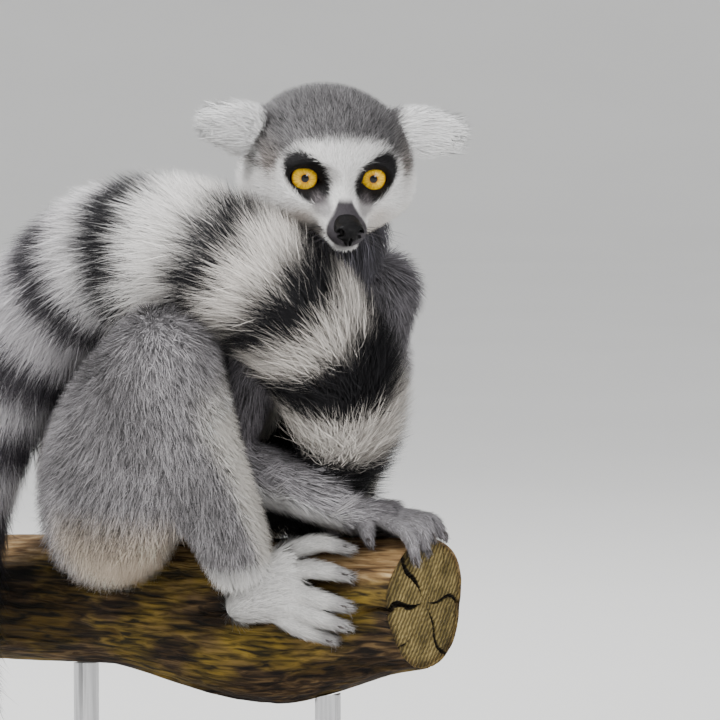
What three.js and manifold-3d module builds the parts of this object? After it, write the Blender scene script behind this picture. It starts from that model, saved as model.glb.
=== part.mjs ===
// A life-size ring-tailed lemur (Lemur catta), sitting on a cut branch that a display stand holds.
//
// Millimetres, +Z up. The origin is the centre of the stand's underside. The branch runs along +X to its sawn
// end, the lemur faces that end, and its right side is towards -Y. The banded tail comes forward under the
// body, rises in front of the chest, passes under the chin and over the right shoulder, and hangs down behind.
//
// Every form is the outer form of the coat. Each one is a loft: elliptical rings along a smooth curve through
// a few stations. A station is [x, y, z, half-width, half-height]. Where two forms meet, the one that comes
// first in the list of pieces keeps its whole form, and the later one is cut back from it by GAP.
import * as THREE from "three";
import { mergeVertices } from "three/addons/utils/BufferGeometryUtils.js";
import Module from "manifold-3d";

const wasm = await Module();
wasm.setup();

const GAP = 0.35;

// Stand: an oval plinth and two short rods.
const PLINTH = { length: 250, width: 150, height: 18 };
const ROD = { radius: 6, front: 62, rear: -78 };

// Branch: its axis rises a little towards the sawn end, and its underside swells in the middle.
const BRANCH = { rear: -150, sawn: 116, radius: 30.5, rearZ: 136, sawnZ: 151.5 };
const SWELLING = { at: 30, reach: 66, depth: 21 };

// Head: its own frame has +X forward, +Y to the animal's left, +Z up, and the origin midway between the eyes.
const HEAD = { at: [89, -30, 343], turn: -44, pitch: 16, roll: -1 };
const EYE = { radius: 8, apart: 15.6, forward: -2.2, up: 0.8 };

// Skeleton joints, right side and left side.
const RIGHT = {
  shoulder: [54, -34, 286],
  elbow: [26, -36, 218],
  wrist: [81, -9, 190],
  hip: [-38, -40, 188],
  knee: [36, -90, 264],
  ankle: [45, -42, 163],
};
const LEFT = {
  shoulder: [63, 36, 289],
  elbow: [48, 50, 240],
  wrist: [52, 24, 193],
  hip: [-52, 38, 193],
  knee: [27, 74, 253],
  ankle: [28, 41, 161],
};

// The tail's centre line from root to tip, with the coat's radius.
const TAIL = [
  [-74, 0, 204, 13],
  [-56, 0, 190, 15],
  [-20, 0, 192, 17],
  [20, 0, 198, 20],
  [50, -1, 209, 26],
  [72, -8, 228, 31],
  [82, -22, 252, 34],
  [79, -44, 278, 34],
  [60, -61, 300, 34],
  [28, -64, 312, 34],
  [-12, -58, 308, 36],
  [-46, -55, 290, 35],
  [-72, -56, 262, 33],
  [-90, -59, 230, 30],
  [-103, -62, 192, 28],
  [-108, -62, 150, 25],
  [-106, -60, 110, 19],
  [-104, -59, 90, 12],
];
const TAIL_LENGTHS = 8;

const Y_AXIS = new THREE.Vector3(0, 1, 0);
const Z_AXIS = new THREE.Vector3(0, 0, 1);
const CAP_RINGS = 2;

function vec([x, y, z]) {
  return new THREE.Vector3(x, y, z);
}

function mix(a, b, t) {
  return a.map((value, i) => value + (b[i] - value) * t);
}

// The smooth line through a loft's stations, read by a number from 0 at the first to 1 at the last.
function spine(stations) {
  const smooth = (points) => new THREE.CatmullRomCurve3(points, false, "catmullrom", 0.5);
  const line = smooth(stations.map(vec));
  const size = smooth(stations.map(([, , , width, height = width]) => vec([width, height, 0])));
  return { at: (t) => line.getPoint(t), along: (t) => line.getTangent(t), half: (t) => size.getPoint(t) };
}

// A loft along a spine: a unit capsule whose straight part is laid along it, between the two numbers of `span`.
// Each end carries on past its last ring as half an ellipsoid, as long as `caps` says in times the ring's
// smaller half-size, and 0 makes a flat end. The width lies towards `across`.
function loft(stations, options = {}, grow = 0) {
  const { sides = 14, rings = 2 * stations.length, across = Y_AXIS, span = [0, 1], caps = [1, 1] } = options;
  const { lump = () => 1 } = options;
  const path = spine(stations);
  const unit = new THREE.CapsuleGeometry(1, 1, CAP_RINGS, sides, rings);
  const points = unit.getAttribute("position");
  for (let i = 0; i < points.count; i++) {
    const on = new THREE.Vector3().fromBufferAttribute(points, i);
    const inside = THREE.MathUtils.clamp(on.y, -0.5, 0.5);
    const t = THREE.MathUtils.lerp(...span, inside + 0.5);
    const size = path.half(t);
    const along = path.along(t);
    const up = new THREE.Vector3().crossVectors(across, along).normalize();
    const side = new THREE.Vector3().crossVectors(along, up).normalize();
    const centre = path.at(t);
    const cap = on.y < 0 ? caps[0] : caps[1];
    const past = (on.y - inside) * cap * Math.min(size.x, size.y) + endOf(on.y) * grow;
    const swell = lump(Math.atan2(on.z, on.x), centre);
    centre.addScaledVector(along, past);
    centre.addScaledVector(side, on.x * (size.x * swell + grow));
    centre.addScaledVector(up, on.z * (size.y * swell + grow));
    points.setXYZ(i, ...centre);
  }
  return unit;
}

// Which end of a unit capsule a height is in: -1 or 1, and 0 between them.
function endOf(y) {
  return Math.abs(y) > 0.499 ? Math.sign(y) : 0;
}

// A closed geometry as a solid that can be joined and cut.
function solid(geometry) {
  geometry.deleteAttribute("normal").deleteAttribute("uv");
  const merged = mergeVertices(geometry, 1e-4);
  return new wasm.Manifold(
    new wasm.Mesh({
      numProp: 3,
      vertProperties: merged.getAttribute("position").array,
      triVerts: new Uint32Array(merged.index.array),
    }),
  );
}

function geometryOf(made) {
  const mesh = made.getMesh();
  const points = new Float32Array(mesh.numVert * 3);
  for (let i = 0; i < mesh.numVert; i++) {
    points.set(mesh.vertProperties.subarray(i * mesh.numProp, i * mesh.numProp + 3), i * 3);
  }
  return new THREE.BufferGeometry()
    .setAttribute("position", new THREE.BufferAttribute(points, 3))
    .setIndex(new THREE.BufferAttribute(mesh.triVerts, 1));
}

function joined(solids) {
  return solids.reduce((all, one) => all.add(one));
}

// Materials, by what covers a piece.
const finish = (color, roughness, metalness = 0) =>
  new THREE.MeshStandardMaterial({ color, roughness, metalness });
const COAT = {
  crown: finish(0x6d6b6e, 0.95),
  muzzle: finish(0x4a474b, 0.8),
  white: finish(0xd9d7d4, 0.95),
  grey: finish(0x9a9795, 0.95),
  back: finish(0x7a7470, 0.95),
  limb: finish(0xaaa8a8, 0.95),
  band: finish(0x1b1a1d, 0.95),
  pale: finish(0xc4c1bd, 0.95),
  hand: finish(0xc9c7c5, 0.9),
};
const EYE_AMBER = finish(0xd9a520, 0.12);
const NOSE_LEATHER = finish(0x232126, 0.55);
const WOOD = finish(0x7d6334, 0.9);
const PLINTH_WOOD = finish(0x3a2a1e, 0.5);
const STEEL = finish(0x55585c, 0.35, 1);

// ---- Head -------------------------------------------------------------------------------------------------

const headFrame = new THREE.Matrix4()
  .makeTranslation(...HEAD.at)
  .multiply(new THREE.Matrix4().makeRotationZ(THREE.MathUtils.degToRad(HEAD.turn)))
  .multiply(new THREE.Matrix4().makeRotationY(THREE.MathUtils.degToRad(HEAD.pitch)))
  .multiply(new THREE.Matrix4().makeRotationX(THREE.MathUtils.degToRad(HEAD.roll)));
const headLeft = Y_AXIS.clone().transformDirection(headFrame);
const headUp = Z_AXIS.clone().transformDirection(headFrame);

// A station given in the head's frame.
function inHead([x, y, z, ...size]) {
  return [...new THREE.Vector3(x, y, z).applyMatrix4(headFrame).toArray(), ...size];
}

// From the back of the skull, over the crown and the cheeks, to the brow.
const SKULL = [
  [-54, 0, 2, 24, 21],
  [-42, 0, 2.5, 34.5, 29],
  [-27, 0, 1.5, 39.5, 33.5],
  [-13, 0, -1, 38, 32],
  [-3, 0, -3, 31, 25],
].map(inHead);

// From between the eyes to the lips.
const MUZZLE = [
  [-2, 0, -8.5, 16, 13.5],
  [9, 0, -12, 14.5, 12.5],
  [20, 0, -15, 12, 11],
  [29, 0, -17, 9.5, 9.5],
].map(inHead);

function skull(grow) {
  return solid(loft(SKULL, { sides: 18, rings: 7, across: headLeft, caps: [0.8, 0.3] }, grow));
}

function muzzle(grow) {
  return solid(loft(MUZZLE, { sides: 12, rings: 4, across: headLeft, caps: [0.3, 0.6] }, grow));
}

// The bare pad round the nostrils, at the end of the muzzle.
function nosePad(grow) {
  const stations = [
    [29, 0, -12.5, 6.2, 4.6],
    [34, 0, -13.5, 6.6, 5.2],
  ].map(inHead);
  return solid(loft(stations, { sides: 10, rings: 1, across: headLeft, caps: [0.5, 0.5] }, grow));
}

function eye(side) {
  return (grow) => {
    const ball = new THREE.SphereGeometry(EYE.radius + grow, 12, 8);
    const at = inHead([EYE.forward, side * EYE.apart, EYE.up]);
    return solid(ball.translate(...at));
  };
}

// A broad rounded ear, flat from front to back, standing out level from the side of the crown.
function ear(side, tipRise) {
  const stations = [
    [-27, side * 29, 12, 13, 8],
    [-25, side * 38, 14, 13.5, 8.5],
    [-22, side * 48, 15 + tipRise * 0.5, 12, 7],
    [-20, side * 59, 15 + tipRise, 7, 4.5],
  ].map(inHead);
  return (grow) => solid(loft(stations, { sides: 10, rings: 4, across: headUp, caps: [1, 0.7] }, grow));
}

// ---- Trunk and neck ---------------------------------------------------------------------------------------

const TRUNK = [
  [-62, 0, 214, 40, 34],
  [-50, 0, 236, 45, 39],
  [-18, -1, 259, 45, 40],
  [18, -2, 274, 44, 39],
  [44, 2, 286, 46, 36],
];
// The neck's coat spreads into the ruff behind the cheeks.
const NECK = [
  [40, -4, 299, 40, 34],
  [58, -8, 318, 41, 35],
  [68, -15, 336, 38, 33],
];

function trunk(grow) {
  return solid(loft(TRUNK, { sides: 14, rings: 7 }, grow));
}

function neck(grow) {
  return solid(loft(NECK, { sides: 14, rings: 3, caps: [0.6, 0.6] }, grow));
}

// ---- Limbs ------------------------------------------------------------------------------------------------

function upperArm({ shoulder, elbow }) {
  const stations = [
    [...shoulder, 24, 22],
    [...mix(shoulder, elbow, 0.5), 20, 19],
    [...elbow, 15, 16],
  ];
  return (grow) => solid(loft(stations, { sides: 10, rings: 3 }, grow));
}

function forearm({ elbow, wrist }) {
  const stations = [
    [...elbow, 15.5, 17],
    [...mix(elbow, wrist, 0.45), 15, 15.5],
    [...wrist, 10.5, 10.5],
  ];
  return (grow) => solid(loft(stations, { sides: 10, rings: 4, caps: [1, 0.5] }, grow));
}

// The thigh runs from the haunch, which spills down over the branch's side, up to the knee.
function thigh({ hip, knee }, side) {
  const stations = [
    [...hip, 31, 36],
    [...haunch(mix(hip, knee, 0.32), side, 4, 8), 35, 41],
    [...haunch(mix(hip, knee, 0.66), side, 2, 3), 34, 38],
    [...knee, 23, 23],
  ];
  return (grow) => solid(loft(stations, { sides: 12, rings: 5, caps: [0.5, 1] }, grow));
}

function haunch([x, y, z], side, outward, down) {
  return [x, y + side * outward, z - down];
}

function shank({ knee, ankle }) {
  const stations = [
    [...knee, 22.5, 22.5],
    [...mix(knee, ankle, 0.4), 20, 23.5],
    [...mix(knee, ankle, 0.8), 16, 22],
    [...ankle, 12, 18.5],
  ];
  return (grow) => solid(loft(stations, { sides: 12, rings: 5, caps: [1, 0.5] }, grow));
}

// A point of the branch's surface, at x along it and turned by an angle from its top, towards -Y for side -1.
function onBranch(x, angle, side, height = 0) {
  const { radius } = BRANCH;
  const turn = THREE.MathUtils.degToRad(angle);
  const reach = radius + height;
  return [x, side * reach * Math.sin(turn), branchZ(x) + reach * Math.cos(turn)];
}

function branchZ(x) {
  const { rear, sawn, rearZ, sawnZ } = BRANCH;
  return THREE.MathUtils.mapLinear(x, rear, sawn, rearZ, sawnZ);
}

// A digit that bends from its knuckle over the branch to its tip.
function digit(path, radius, across, grow) {
  const widths = [1.2, 1.05, 0.8];
  const stations = path.map((point, i) => [...point, radius * widths[i], radius * widths[i]]);
  return solid(loft(stations, { sides: 6, rings: 3, across, caps: [0.6, 1] }, grow));
}

// A foot held against the branch's side. Each digit's stations are [x, angle, height over the branch], from
// its knuckle, with the great toe first.
const TOES = [
  [[60, 46, 6], [74, 40, 7], [87, 40, 4]],
  [[66, 62, 6.5], [80, 62, 7], [93, 64, 4]],
  [[66, 78, 6.5], [81, 82, 7], [95, 87, 4]],
  [[64, 86, 6.5], [80, 94, 6.5], [93, 102, 4]],
  [[58, 92, 6], [72, 103, 6], [84, 113, 3.5]],
];
const TOE_RADIUS = 4.8;

function foot({ ankle }, side, shift) {
  const place = ([x, angle, height]) => onBranch(x + shift, angle, side, height);
  const sole = [
    [...onBranch(ankle[0] - 5, 88, side, 8), 9, 8],
    [...onBranch(ankle[0] + 9, 80, side, 9), 14, 9.5],
    [...onBranch(ankle[0] + 22, 70, side, 7), 18, 8],
  ];
  return (grow) =>
    joined([
      solid(loft(sole, { sides: 10, rings: 4, across: Z_AXIS, caps: [1, 0.7] }, grow)),
      ...TOES.map((toe) => digit(toe.map(place), TOE_RADIUS, Z_AXIS, grow)),
    ]);
}

// A hand laid on the branch's top. Each finger's stations are [forward, angle, height] from the palm's end, the
// thumb first. A negative height is below the branch's surface, so it is only for a finger over the sawn end.
const HOLDING_FINGERS = [
  [[-10, 12, 7], [-4, 24, 6], [0, 32, 4]],
  [[2, 12, 8], [18, 24, 5], [22, 32, -5]],
  [[2, 4, 9], [19, 12, 5], [23, 15, -4]],
  [[1, -5, 9], [18, 2, 7], [23, 4, 1]],
  [[-1, -14, 8], [15, -14, 7], [22, -14, 1]],
];
const RESTING_FINGERS = [
  [[-14, 8, 6], [-6, -4, 5], [2, -10, 3]],
  [[2, 20, 7], [16, 12, 6.5], [28, 8, 3.5]],
  [[3, 30, 7], [19, 28, 6.5], [33, 27, 3.5]],
  [[2, 40, 7], [18, 43, 6.5], [31, 45, 3.5]],
  [[-1, 50, 7], [13, 56, 6], [24, 61, 3.5]],
];
const FINGER_RADIUS = 4;

function hand({ wrist }, side, angle, fingers) {
  const palmEnd = wrist[0] + 17;
  const place = ([x, turn, height]) => onBranch(palmEnd + x, turn, side, height);
  const palm = [
    [...wrist, 9.5, 8.5],
    [...onBranch(palmEnd, angle, side, 9.5), 13, 7.5],
  ];
  return (grow) =>
    joined([
      solid(loft(palm, { sides: 10, rings: 2, caps: [0.6, 0.6] }, grow)),
      ...fingers.map((finger) => digit(finger.map(place), FINGER_RADIUS, Y_AXIS, grow)),
    ]);
}

// ---- Branch and stand -------------------------------------------------------------------------------------

// Shallow ridges round the branch, and the swelling of its underside.
function branchLump(angle, { x }) {
  const ridges = 0.03 * Math.cos(3 * angle + 0.02 * x) + 0.02 * Math.cos(5 * angle - 1 + 0.03 * x);
  const bulge = Math.exp(-(((x - SWELLING.at) / SWELLING.reach) ** 2)) - bulgeAtSawnEnd;
  const under = Math.max(0, Math.sin(angle)) ** 2;
  return 1 + ridges + (Math.max(0, bulge) * under * SWELLING.depth) / BRANCH.radius;
}
const bulgeAtSawnEnd = Math.exp(-(((BRANCH.sawn - SWELLING.at) / SWELLING.reach) ** 2));

function branch(grow) {
  const { rear, sawn, radius } = BRANCH;
  const stations = [rear, sawn].map((x) => [x, 0, branchZ(x), radius, radius]);
  return solid(loft(stations, { sides: 20, rings: 9, caps: [0, 0], lump: branchLump }, grow));
}

function rod(x) {
  return (grow) => {
    const length = branchZ(x) - PLINTH.height - GAP;
    const made = new THREE.CylinderGeometry(ROD.radius + grow, ROD.radius + grow, length, 16);
    made.rotateX(Math.PI / 2).translate(x, 0, PLINTH.height + GAP + length / 2);
    return solid(made);
  };
}

function plinth() {
  const { length, width, height } = PLINTH;
  const outline = new THREE.Shape().absellipse(0, 0, length / 2, width / 2, 0, Math.PI * 2);
  return solid(new THREE.ExtrudeGeometry(outline, { depth: height, bevelEnabled: false, curveSegments: 36 }));
}

// ---- Tail -------------------------------------------------------------------------------------------------

function tailLength(i) {
  const span = [i / TAIL_LENGTHS, (i + 1) / TAIL_LENGTHS];
  const caps = [i ? 0 : 1, i + 1 < TAIL_LENGTHS ? 0 : 1];
  return (grow) => solid(loft(TAIL, { sides: 12, rings: 4, span, caps }, grow));
}

// ---- The model --------------------------------------------------------------------------------------------

const pieces = [
  ["branch", branch, WOOD],
  ["stand_plinth", plinth, PLINTH_WOOD],
  ["stand_rod_front", rod(ROD.front), STEEL],
  ["stand_rod_rear", rod(ROD.rear), STEEL],
  ["eye_right", eye(-1), EYE_AMBER],
  ["eye_left", eye(1), EYE_AMBER],
  ["nose", nosePad, NOSE_LEATHER],
  ["muzzle", muzzle, COAT.muzzle],
  ["head", skull, COAT.crown],
  ["ear_right", ear(-1, 6), COAT.white],
  ["ear_left", ear(1, 1), COAT.white],
  ["hand_right", hand(RIGHT, -1, 0, HOLDING_FINGERS), COAT.hand],
  ["hand_left", hand(LEFT, 1, 32, RESTING_FINGERS), COAT.hand],
  ["forearm_right", forearm(RIGHT), COAT.limb],
  ["forearm_left", forearm(LEFT), COAT.limb],
  ["foot_right", foot(RIGHT, -1, 0), COAT.hand],
  ["foot_left", foot(LEFT, 1, -18), COAT.hand],
  ["shank_right", shank(RIGHT), COAT.pale],
  ["shank_left", shank(LEFT), COAT.pale],
  ["thigh_right", thigh(RIGHT, -1), COAT.grey],
  ["thigh_left", thigh(LEFT, 1), COAT.grey],
  ...Array.from({ length: TAIL_LENGTHS }, (_, i) => [
    `tail_${i + 1}`,
    tailLength(i),
    i % 2 ? COAT.white : COAT.band,
  ]),
  ["upper_arm_right", upperArm(RIGHT), COAT.limb],
  ["upper_arm_left", upperArm(LEFT), COAT.limb],
  ["neck", neck, COAT.white],
  ["trunk", trunk, COAT.back],
];

// Cuts each piece back from those before it, and keeps the largest part of what is left.
function assembled() {
  const model = new THREE.Group();
  const before = [];
  for (const [name, make, material] of pieces) {
    const own = before.reduce((left, grown) => left.subtract(grown), make(0));
    const parts = own.decompose().sort((a, b) => b.volume() - a.volume());
    const mesh = new THREE.Mesh(geometryOf(parts[0]), material);
    mesh.name = name;
    model.add(mesh);
    before.push(make(GAP));
  }
  return model;
}

export default assembled();
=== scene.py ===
"""A ring-tailed lemur on a cut branch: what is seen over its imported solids.

Tables are in millimetres, in the frame of the solids: +Z up, the branch along +X, and the lemur's right
side towards -Y. Meshes are made in metres. The skin is the surface of a field of smooth lofts, and lies
inside the solids by the coat's depth. The coat is thin closed tufts that are rooted on the skin and follow
the lie of the fur. Eyes, nose, nails, whiskers and bark are pieces of their own.
"""

import math

import bpy
import numpy as np
from mathutils import Matrix, Vector


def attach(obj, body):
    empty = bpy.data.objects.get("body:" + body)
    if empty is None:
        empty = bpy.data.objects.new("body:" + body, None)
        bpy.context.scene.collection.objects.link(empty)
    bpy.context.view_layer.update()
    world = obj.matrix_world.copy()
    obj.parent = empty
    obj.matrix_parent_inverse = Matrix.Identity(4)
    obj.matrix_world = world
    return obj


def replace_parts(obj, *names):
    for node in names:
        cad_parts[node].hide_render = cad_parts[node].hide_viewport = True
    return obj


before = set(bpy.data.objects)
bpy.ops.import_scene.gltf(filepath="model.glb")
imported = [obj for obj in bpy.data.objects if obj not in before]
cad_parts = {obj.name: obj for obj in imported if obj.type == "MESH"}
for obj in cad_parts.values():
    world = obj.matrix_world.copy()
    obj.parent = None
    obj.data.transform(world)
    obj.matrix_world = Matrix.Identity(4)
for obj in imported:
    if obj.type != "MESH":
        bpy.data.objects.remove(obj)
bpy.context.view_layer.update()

MM = 0.001
FAR = 25.0  # a distance that stands for "nowhere near"
random = np.random.default_rng(7)

# ---- The same forms as the solids have ----

Y, Z = np.eye(3)[1:]
HEAD_AT = (89, -30, 343)
HEAD_TURN, HEAD_PITCH, HEAD_ROLL = -44, 16, -1
EYE_RADIUS = 8.0
EYE_APART, EYE_FORWARD, EYE_UP = 15.6, -2.2, 0.8
BRANCH_REAR, BRANCH_SAWN, BRANCH_RADIUS = -150, 116, 30.5
BRANCH_REAR_Z, BRANCH_SAWN_Z = 136, 151.5

RIGHT = {
    "shoulder": (54, -34, 286),
    "elbow": (26, -36, 218),
    "wrist": (81, -9, 190),
    "hip": (-38, -40, 188),
    "knee": (36, -90, 264),
    "ankle": (45, -42, 163),
}
LEFT = {
    "shoulder": (63, 36, 289),
    "elbow": (48, 50, 240),
    "wrist": (52, 24, 193),
    "hip": (-52, 38, 193),
    "knee": (27, 74, 253),
    "ankle": (28, 41, 161),
}
TAIL = [
    (-74, 0, 204, 13),
    (-56, 0, 190, 15),
    (-20, 0, 192, 17),
    (20, 0, 198, 20),
    (50, -1, 209, 26),
    (72, -8, 228, 31),
    (82, -22, 252, 34),
    (79, -44, 278, 34),
    (60, -61, 300, 34),
    (28, -64, 312, 34),
    (-12, -58, 308, 36),
    (-46, -55, 290, 35),
    (-72, -56, 262, 33),
    (-90, -59, 230, 30),
    (-103, -62, 192, 28),
    (-108, -62, 150, 25),
    (-106, -60, 110, 19),
    (-104, -59, 90, 12),
]
TRUNK = [
    (-62, 0, 214, 40, 34),
    (-50, 0, 236, 45, 39),
    (-18, -1, 259, 45, 40),
    (18, -2, 274, 44, 39),
    (44, 2, 286, 46, 36),
]
NECK = [(40, -4, 299, 40, 34), (58, -8, 318, 41, 35), (68, -15, 336, 38, 33)]
SKULL = [
    (-54, 0, 2, 24, 21),
    (-42, 0, 2.5, 34.5, 29),
    (-27, 0, 1.5, 39.5, 33.5),
    (-13, 0, -1, 38, 32),
    (-3, 0, -3, 31, 25),
]
TOES = [
    [(60, 46, 6), (74, 40, 7), (87, 40, 4)],
    [(66, 62, 6.5), (80, 62, 7), (93, 64, 4)],
    [(66, 78, 6.5), (81, 82, 7), (95, 87, 4)],
    [(64, 86, 6.5), (80, 94, 6.5), (93, 102, 4)],
    [(58, 92, 6), (72, 103, 6), (84, 113, 3.5)],
]
HOLDING_FINGERS = [
    [(-10, 12, 7), (-4, 24, 6), (0, 32, 4)],
    [(2, 12, 8), (18, 24, 5), (22, 32, -5)],
    [(2, 4, 9), (19, 12, 5), (23, 15, -4)],
    [(1, -5, 9), (18, 2, 7), (23, 4, 1)],
    [(-1, -14, 8), (15, -14, 7), (22, -14, 1)],
]
RESTING_FINGERS = [
    [(-14, 8, 6), (-6, -4, 5), (2, -10, 3)],
    [(2, 20, 7), (16, 12, 6.5), (28, 8, 3.5)],
    [(3, 30, 7), (19, 28, 6.5), (33, 27, 3.5)],
    [(2, 40, 7), (18, 43, 6.5), (31, 45, 3.5)],
    [(-1, 50, 7), (13, 56, 6), (24, 61, 3.5)],
]
TOE_RADIUS, FINGER_RADIUS = 4.8, 4.0


def turned(axis, degrees):
    return np.array(Matrix.Rotation(math.radians(degrees), 3, axis))


HEAD_AXES = turned("Z", HEAD_TURN) @ turned("Y", HEAD_PITCH) @ turned("X", HEAD_ROLL)


def from_head(points):
    """Points of the head's frame in the part's frame."""
    return np.asarray(points, float) @ HEAD_AXES.T + HEAD_AT


def to_head(points):
    return (points - np.array(HEAD_AT)) @ HEAD_AXES


def head_stations(stations):
    return [(*from_head(s[:3]), *s[3:]) for s in stations]


def mix(a, b, t):
    return tuple(np.array(a) * (1 - t) + np.array(b) * t)


def branch_z(x):
    return np.interp(x, (BRANCH_REAR, BRANCH_SAWN), (BRANCH_REAR_Z, BRANCH_SAWN_Z))


def on_branch(x, angle, side, height=0.0):
    """A point at x along the branch, at an angle from its top towards one side, `height` above its bark."""
    reach, turn = BRANCH_RADIUS + height, math.radians(angle)
    return x, side * reach * math.sin(turn), branch_z(x) + reach * math.cos(turn)


# ---- Lofts ----


def smooth_line(points, t):
    """The uniform Catmull-Rom curve through the points, at the numbers t from 0 to 1."""
    ends = np.vstack((2 * points[0] - points[1], points, 2 * points[-1] - points[-2]))
    place = np.clip(t, 0, 1) * (len(points) - 1)
    i = np.minimum(place.astype(int), len(points) - 2)
    w = (place - i)[:, None]
    a, b, c, d = (ends[i + k] for k in range(4))
    start, end = (c - a) / 2, (d - b) / 2
    return b + w * start + w**2 * (3 * (c - b) - 2 * start - end) + w**3 * (2 * (b - c) + start + end)


def norms(v):
    return np.linalg.norm(v, axis=1)


def unit(v):
    return v / np.maximum(np.linalg.norm(v, axis=-1, keepdims=True), 1e-9)


LEAST_COAT, LEAST_FLESH = 1.5, 1.0
ON_AXIS = 0.05


class Loft:
    """Elliptic rings along a smooth line, with the coat's depth taken off them."""

    def __init__(self, name, stations, depth, across=Y, caps=(1, 1), blend=5.0, steps=4):
        table = np.array([s if len(s) == 5 else (*s, s[3]) for s in stations], float)
        t = np.linspace(0, 1, steps * (len(table) - 1) + 1)
        self.name, self.caps, self.blend = name, caps, blend
        self.centre = smooth_line(table[:, :3], t)
        self.coat = np.maximum(smooth_line(table[:, 3:], t), LEAST_COAT)
        self.half = np.maximum(self.coat - depth, LEAST_FLESH)
        self.along = unit(np.gradient(self.centre, axis=0))
        self.up = unit(np.cross(across, self.along))
        self.side = np.cross(self.along, self.up)
        self.length = np.append(0, np.cumsum(norms(np.diff(self.centre, axis=0))))

    def box(self, margin):
        reach = self.coat.max() + margin
        return self.centre.min(axis=0) - reach, self.centre.max(axis=0) + reach

    def read(self, points, reach):
        """For each point: its distance from the surface, its length along the line and its two offsets.

        Stretches of the line that lie further off than `reach` aren't read.
        """
        table = np.zeros((4, len(points)))
        table[0] = FAR
        last = len(self.centre) - 2
        for i in range(last + 1):
            ends = self.centre[i : i + 2]
            margin = reach + self.half[i : i + 2].max()
            near = ((points > ends.min(axis=0) - margin) & (points < ends.max(axis=0) + margin)).all(axis=1)
            near = np.flatnonzero(near)
            step = ends[1] - ends[0]
            s = (points[near] - ends[0]) @ step / (step @ step)
            inside = np.clip(s, 0, 1)
            q = points[near] - ends[0] - inside[:, None] * step
            a = q @ self.side[i] * (1 - inside) + q @ self.side[i + 1] * inside
            b = q @ self.up[i] * (1 - inside) + q @ self.up[i + 1] * inside
            e = q @ unit(step)
            size = self.half[i] * (1 - inside[:, None]) + self.half[i + 1] * inside[:, None]
            small = size.min(axis=1)
            cap = np.ones(len(near))
            if i == 0:
                cap[s < 0] = self.caps[0]
            if i == last:
                cap[s > 1] = self.caps[1]
            k = np.sqrt((a / size[:, 0]) ** 2 + (b / size[:, 1]) ** 2 + (e / (small * cap)) ** 2)
            d = np.sqrt((q**2).sum(axis=1)) * (1 - 1 / np.maximum(k, 1e-6))
            d = np.where(k < ON_AXIS, -small, d)
            closer = d < table[0, near]
            length = self.length[i] + inside * (self.length[i + 1] - self.length[i])
            table[:, near[closer]] = np.stack((d, length, a, b))[:, closer]
        return table

    def heading(self, length):
        """The line's direction at the given lengths along it."""
        return unit(np.stack([np.interp(length, self.length, self.along[:, k]) for k in range(3)], axis=1))


DIGIT_WIDTHS = 1.2, 1.05, 0.8


def digit(name, path, radius, across, depth):
    stations = [(*point, radius * w, radius * w) for point, w in zip(path, DIGIT_WIDTHS)]
    return Loft(name, stations, depth, across, (0.6, 1), blend=2.0)


# ---- The body's forms, each with its coat's depth ----


def haunch(point, side, outward, down):
    return point[0], point[1] + side * outward, point[2] - down


def leg_forms(label, joint, side):
    hip, knee, ankle = joint["hip"], joint["knee"], joint["ankle"]
    thigh = [
        (*hip, 31, 36),
        (*haunch(mix(hip, knee, 0.32), side, 4, 8), 35, 41),
        (*haunch(mix(hip, knee, 0.66), side, 2, 3), 34, 38),
        (*knee, 23, 23),
    ]
    shank = [
        (*knee, 22.5, 22.5),
        (*mix(knee, ankle, 0.4), 20, 23.5),
        (*mix(knee, ankle, 0.8), 16, 22),
        (*ankle, 12, 18.5),
    ]
    return [
        Loft(f"thigh_{label}", thigh, 6.5, caps=(0.5, 1), blend=9),
        Loft(f"shank_{label}", shank, 5, caps=(1, 0.5), blend=20),
    ]


def arm_forms(label, joint):
    shoulder, elbow, wrist = joint["shoulder"], joint["elbow"], joint["wrist"]
    upper = [(*shoulder, 24, 22), (*mix(shoulder, elbow, 0.5), 20, 19), (*elbow, 15, 16)]
    lower = [(*elbow, 15.5, 17), (*mix(elbow, wrist, 0.45), 15, 15.5), (*wrist, 10.5, 10.5)]
    return [
        Loft(f"upper_arm_{label}", upper, 5, blend=8),
        Loft(f"forearm_{label}", lower, 4, caps=(1, 0.5), blend=5),
    ]


def foot_forms(label, joint, side, shift):
    heel = joint["ankle"][0]
    sole = [
        (*on_branch(heel - 5, 88, side, 8), 9, 8),
        (*on_branch(heel + 9, 80, side, 9), 14, 9.5),
        (*on_branch(heel + 22, 70, side, 7), 18, 8),
    ]
    toes = [[on_branch(x + shift, angle, side, height) for x, angle, height in toe] for toe in TOES]
    ankle = [(*mix(joint["knee"], joint["ankle"], 0.8), 16, 22), (*joint["ankle"], 12, 18.5)]
    return (
        [Loft(f"sole_{label}", sole, 1.8, Z, (1, 0.7), blend=3)]
        + [digit(f"toe_{label}_{i}", toe, TOE_RADIUS, Z, 1.1) for i, toe in enumerate(toes)]
        + [Loft(f"shank_{label}", ankle, 7, caps=(1, 0.5), blend=4)]
    )


def hand_forms(label, joint, side, angle, fingers):
    wrist = joint["wrist"]
    end = wrist[0] + 17
    palm = [(*wrist, 9.5, 8.5), (*on_branch(end, angle, side, 9.5), 13, 7.5)]
    paths = [[on_branch(end + x, turn, side, height) for x, turn, height in finger] for finger in fingers]
    lower = [(*mix(joint["elbow"], wrist, 0.6), 14, 14), (*wrist, 10.5, 10.5)]
    return (
        [Loft(f"palm_{label}", palm, 1.6, caps=(0.6, 0.6), blend=3)]
        + [digit(f"finger_{label}_{i}", path, FINGER_RADIUS, Y, 0.9) for i, path in enumerate(paths)]
        + [Loft(f"forearm_{label}", lower, 4.7, caps=(0.3, 0.5), blend=3)]
    )


HEAD_LEFT, HEAD_UP = HEAD_AXES[:, 1], HEAD_AXES[:, 2]


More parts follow.
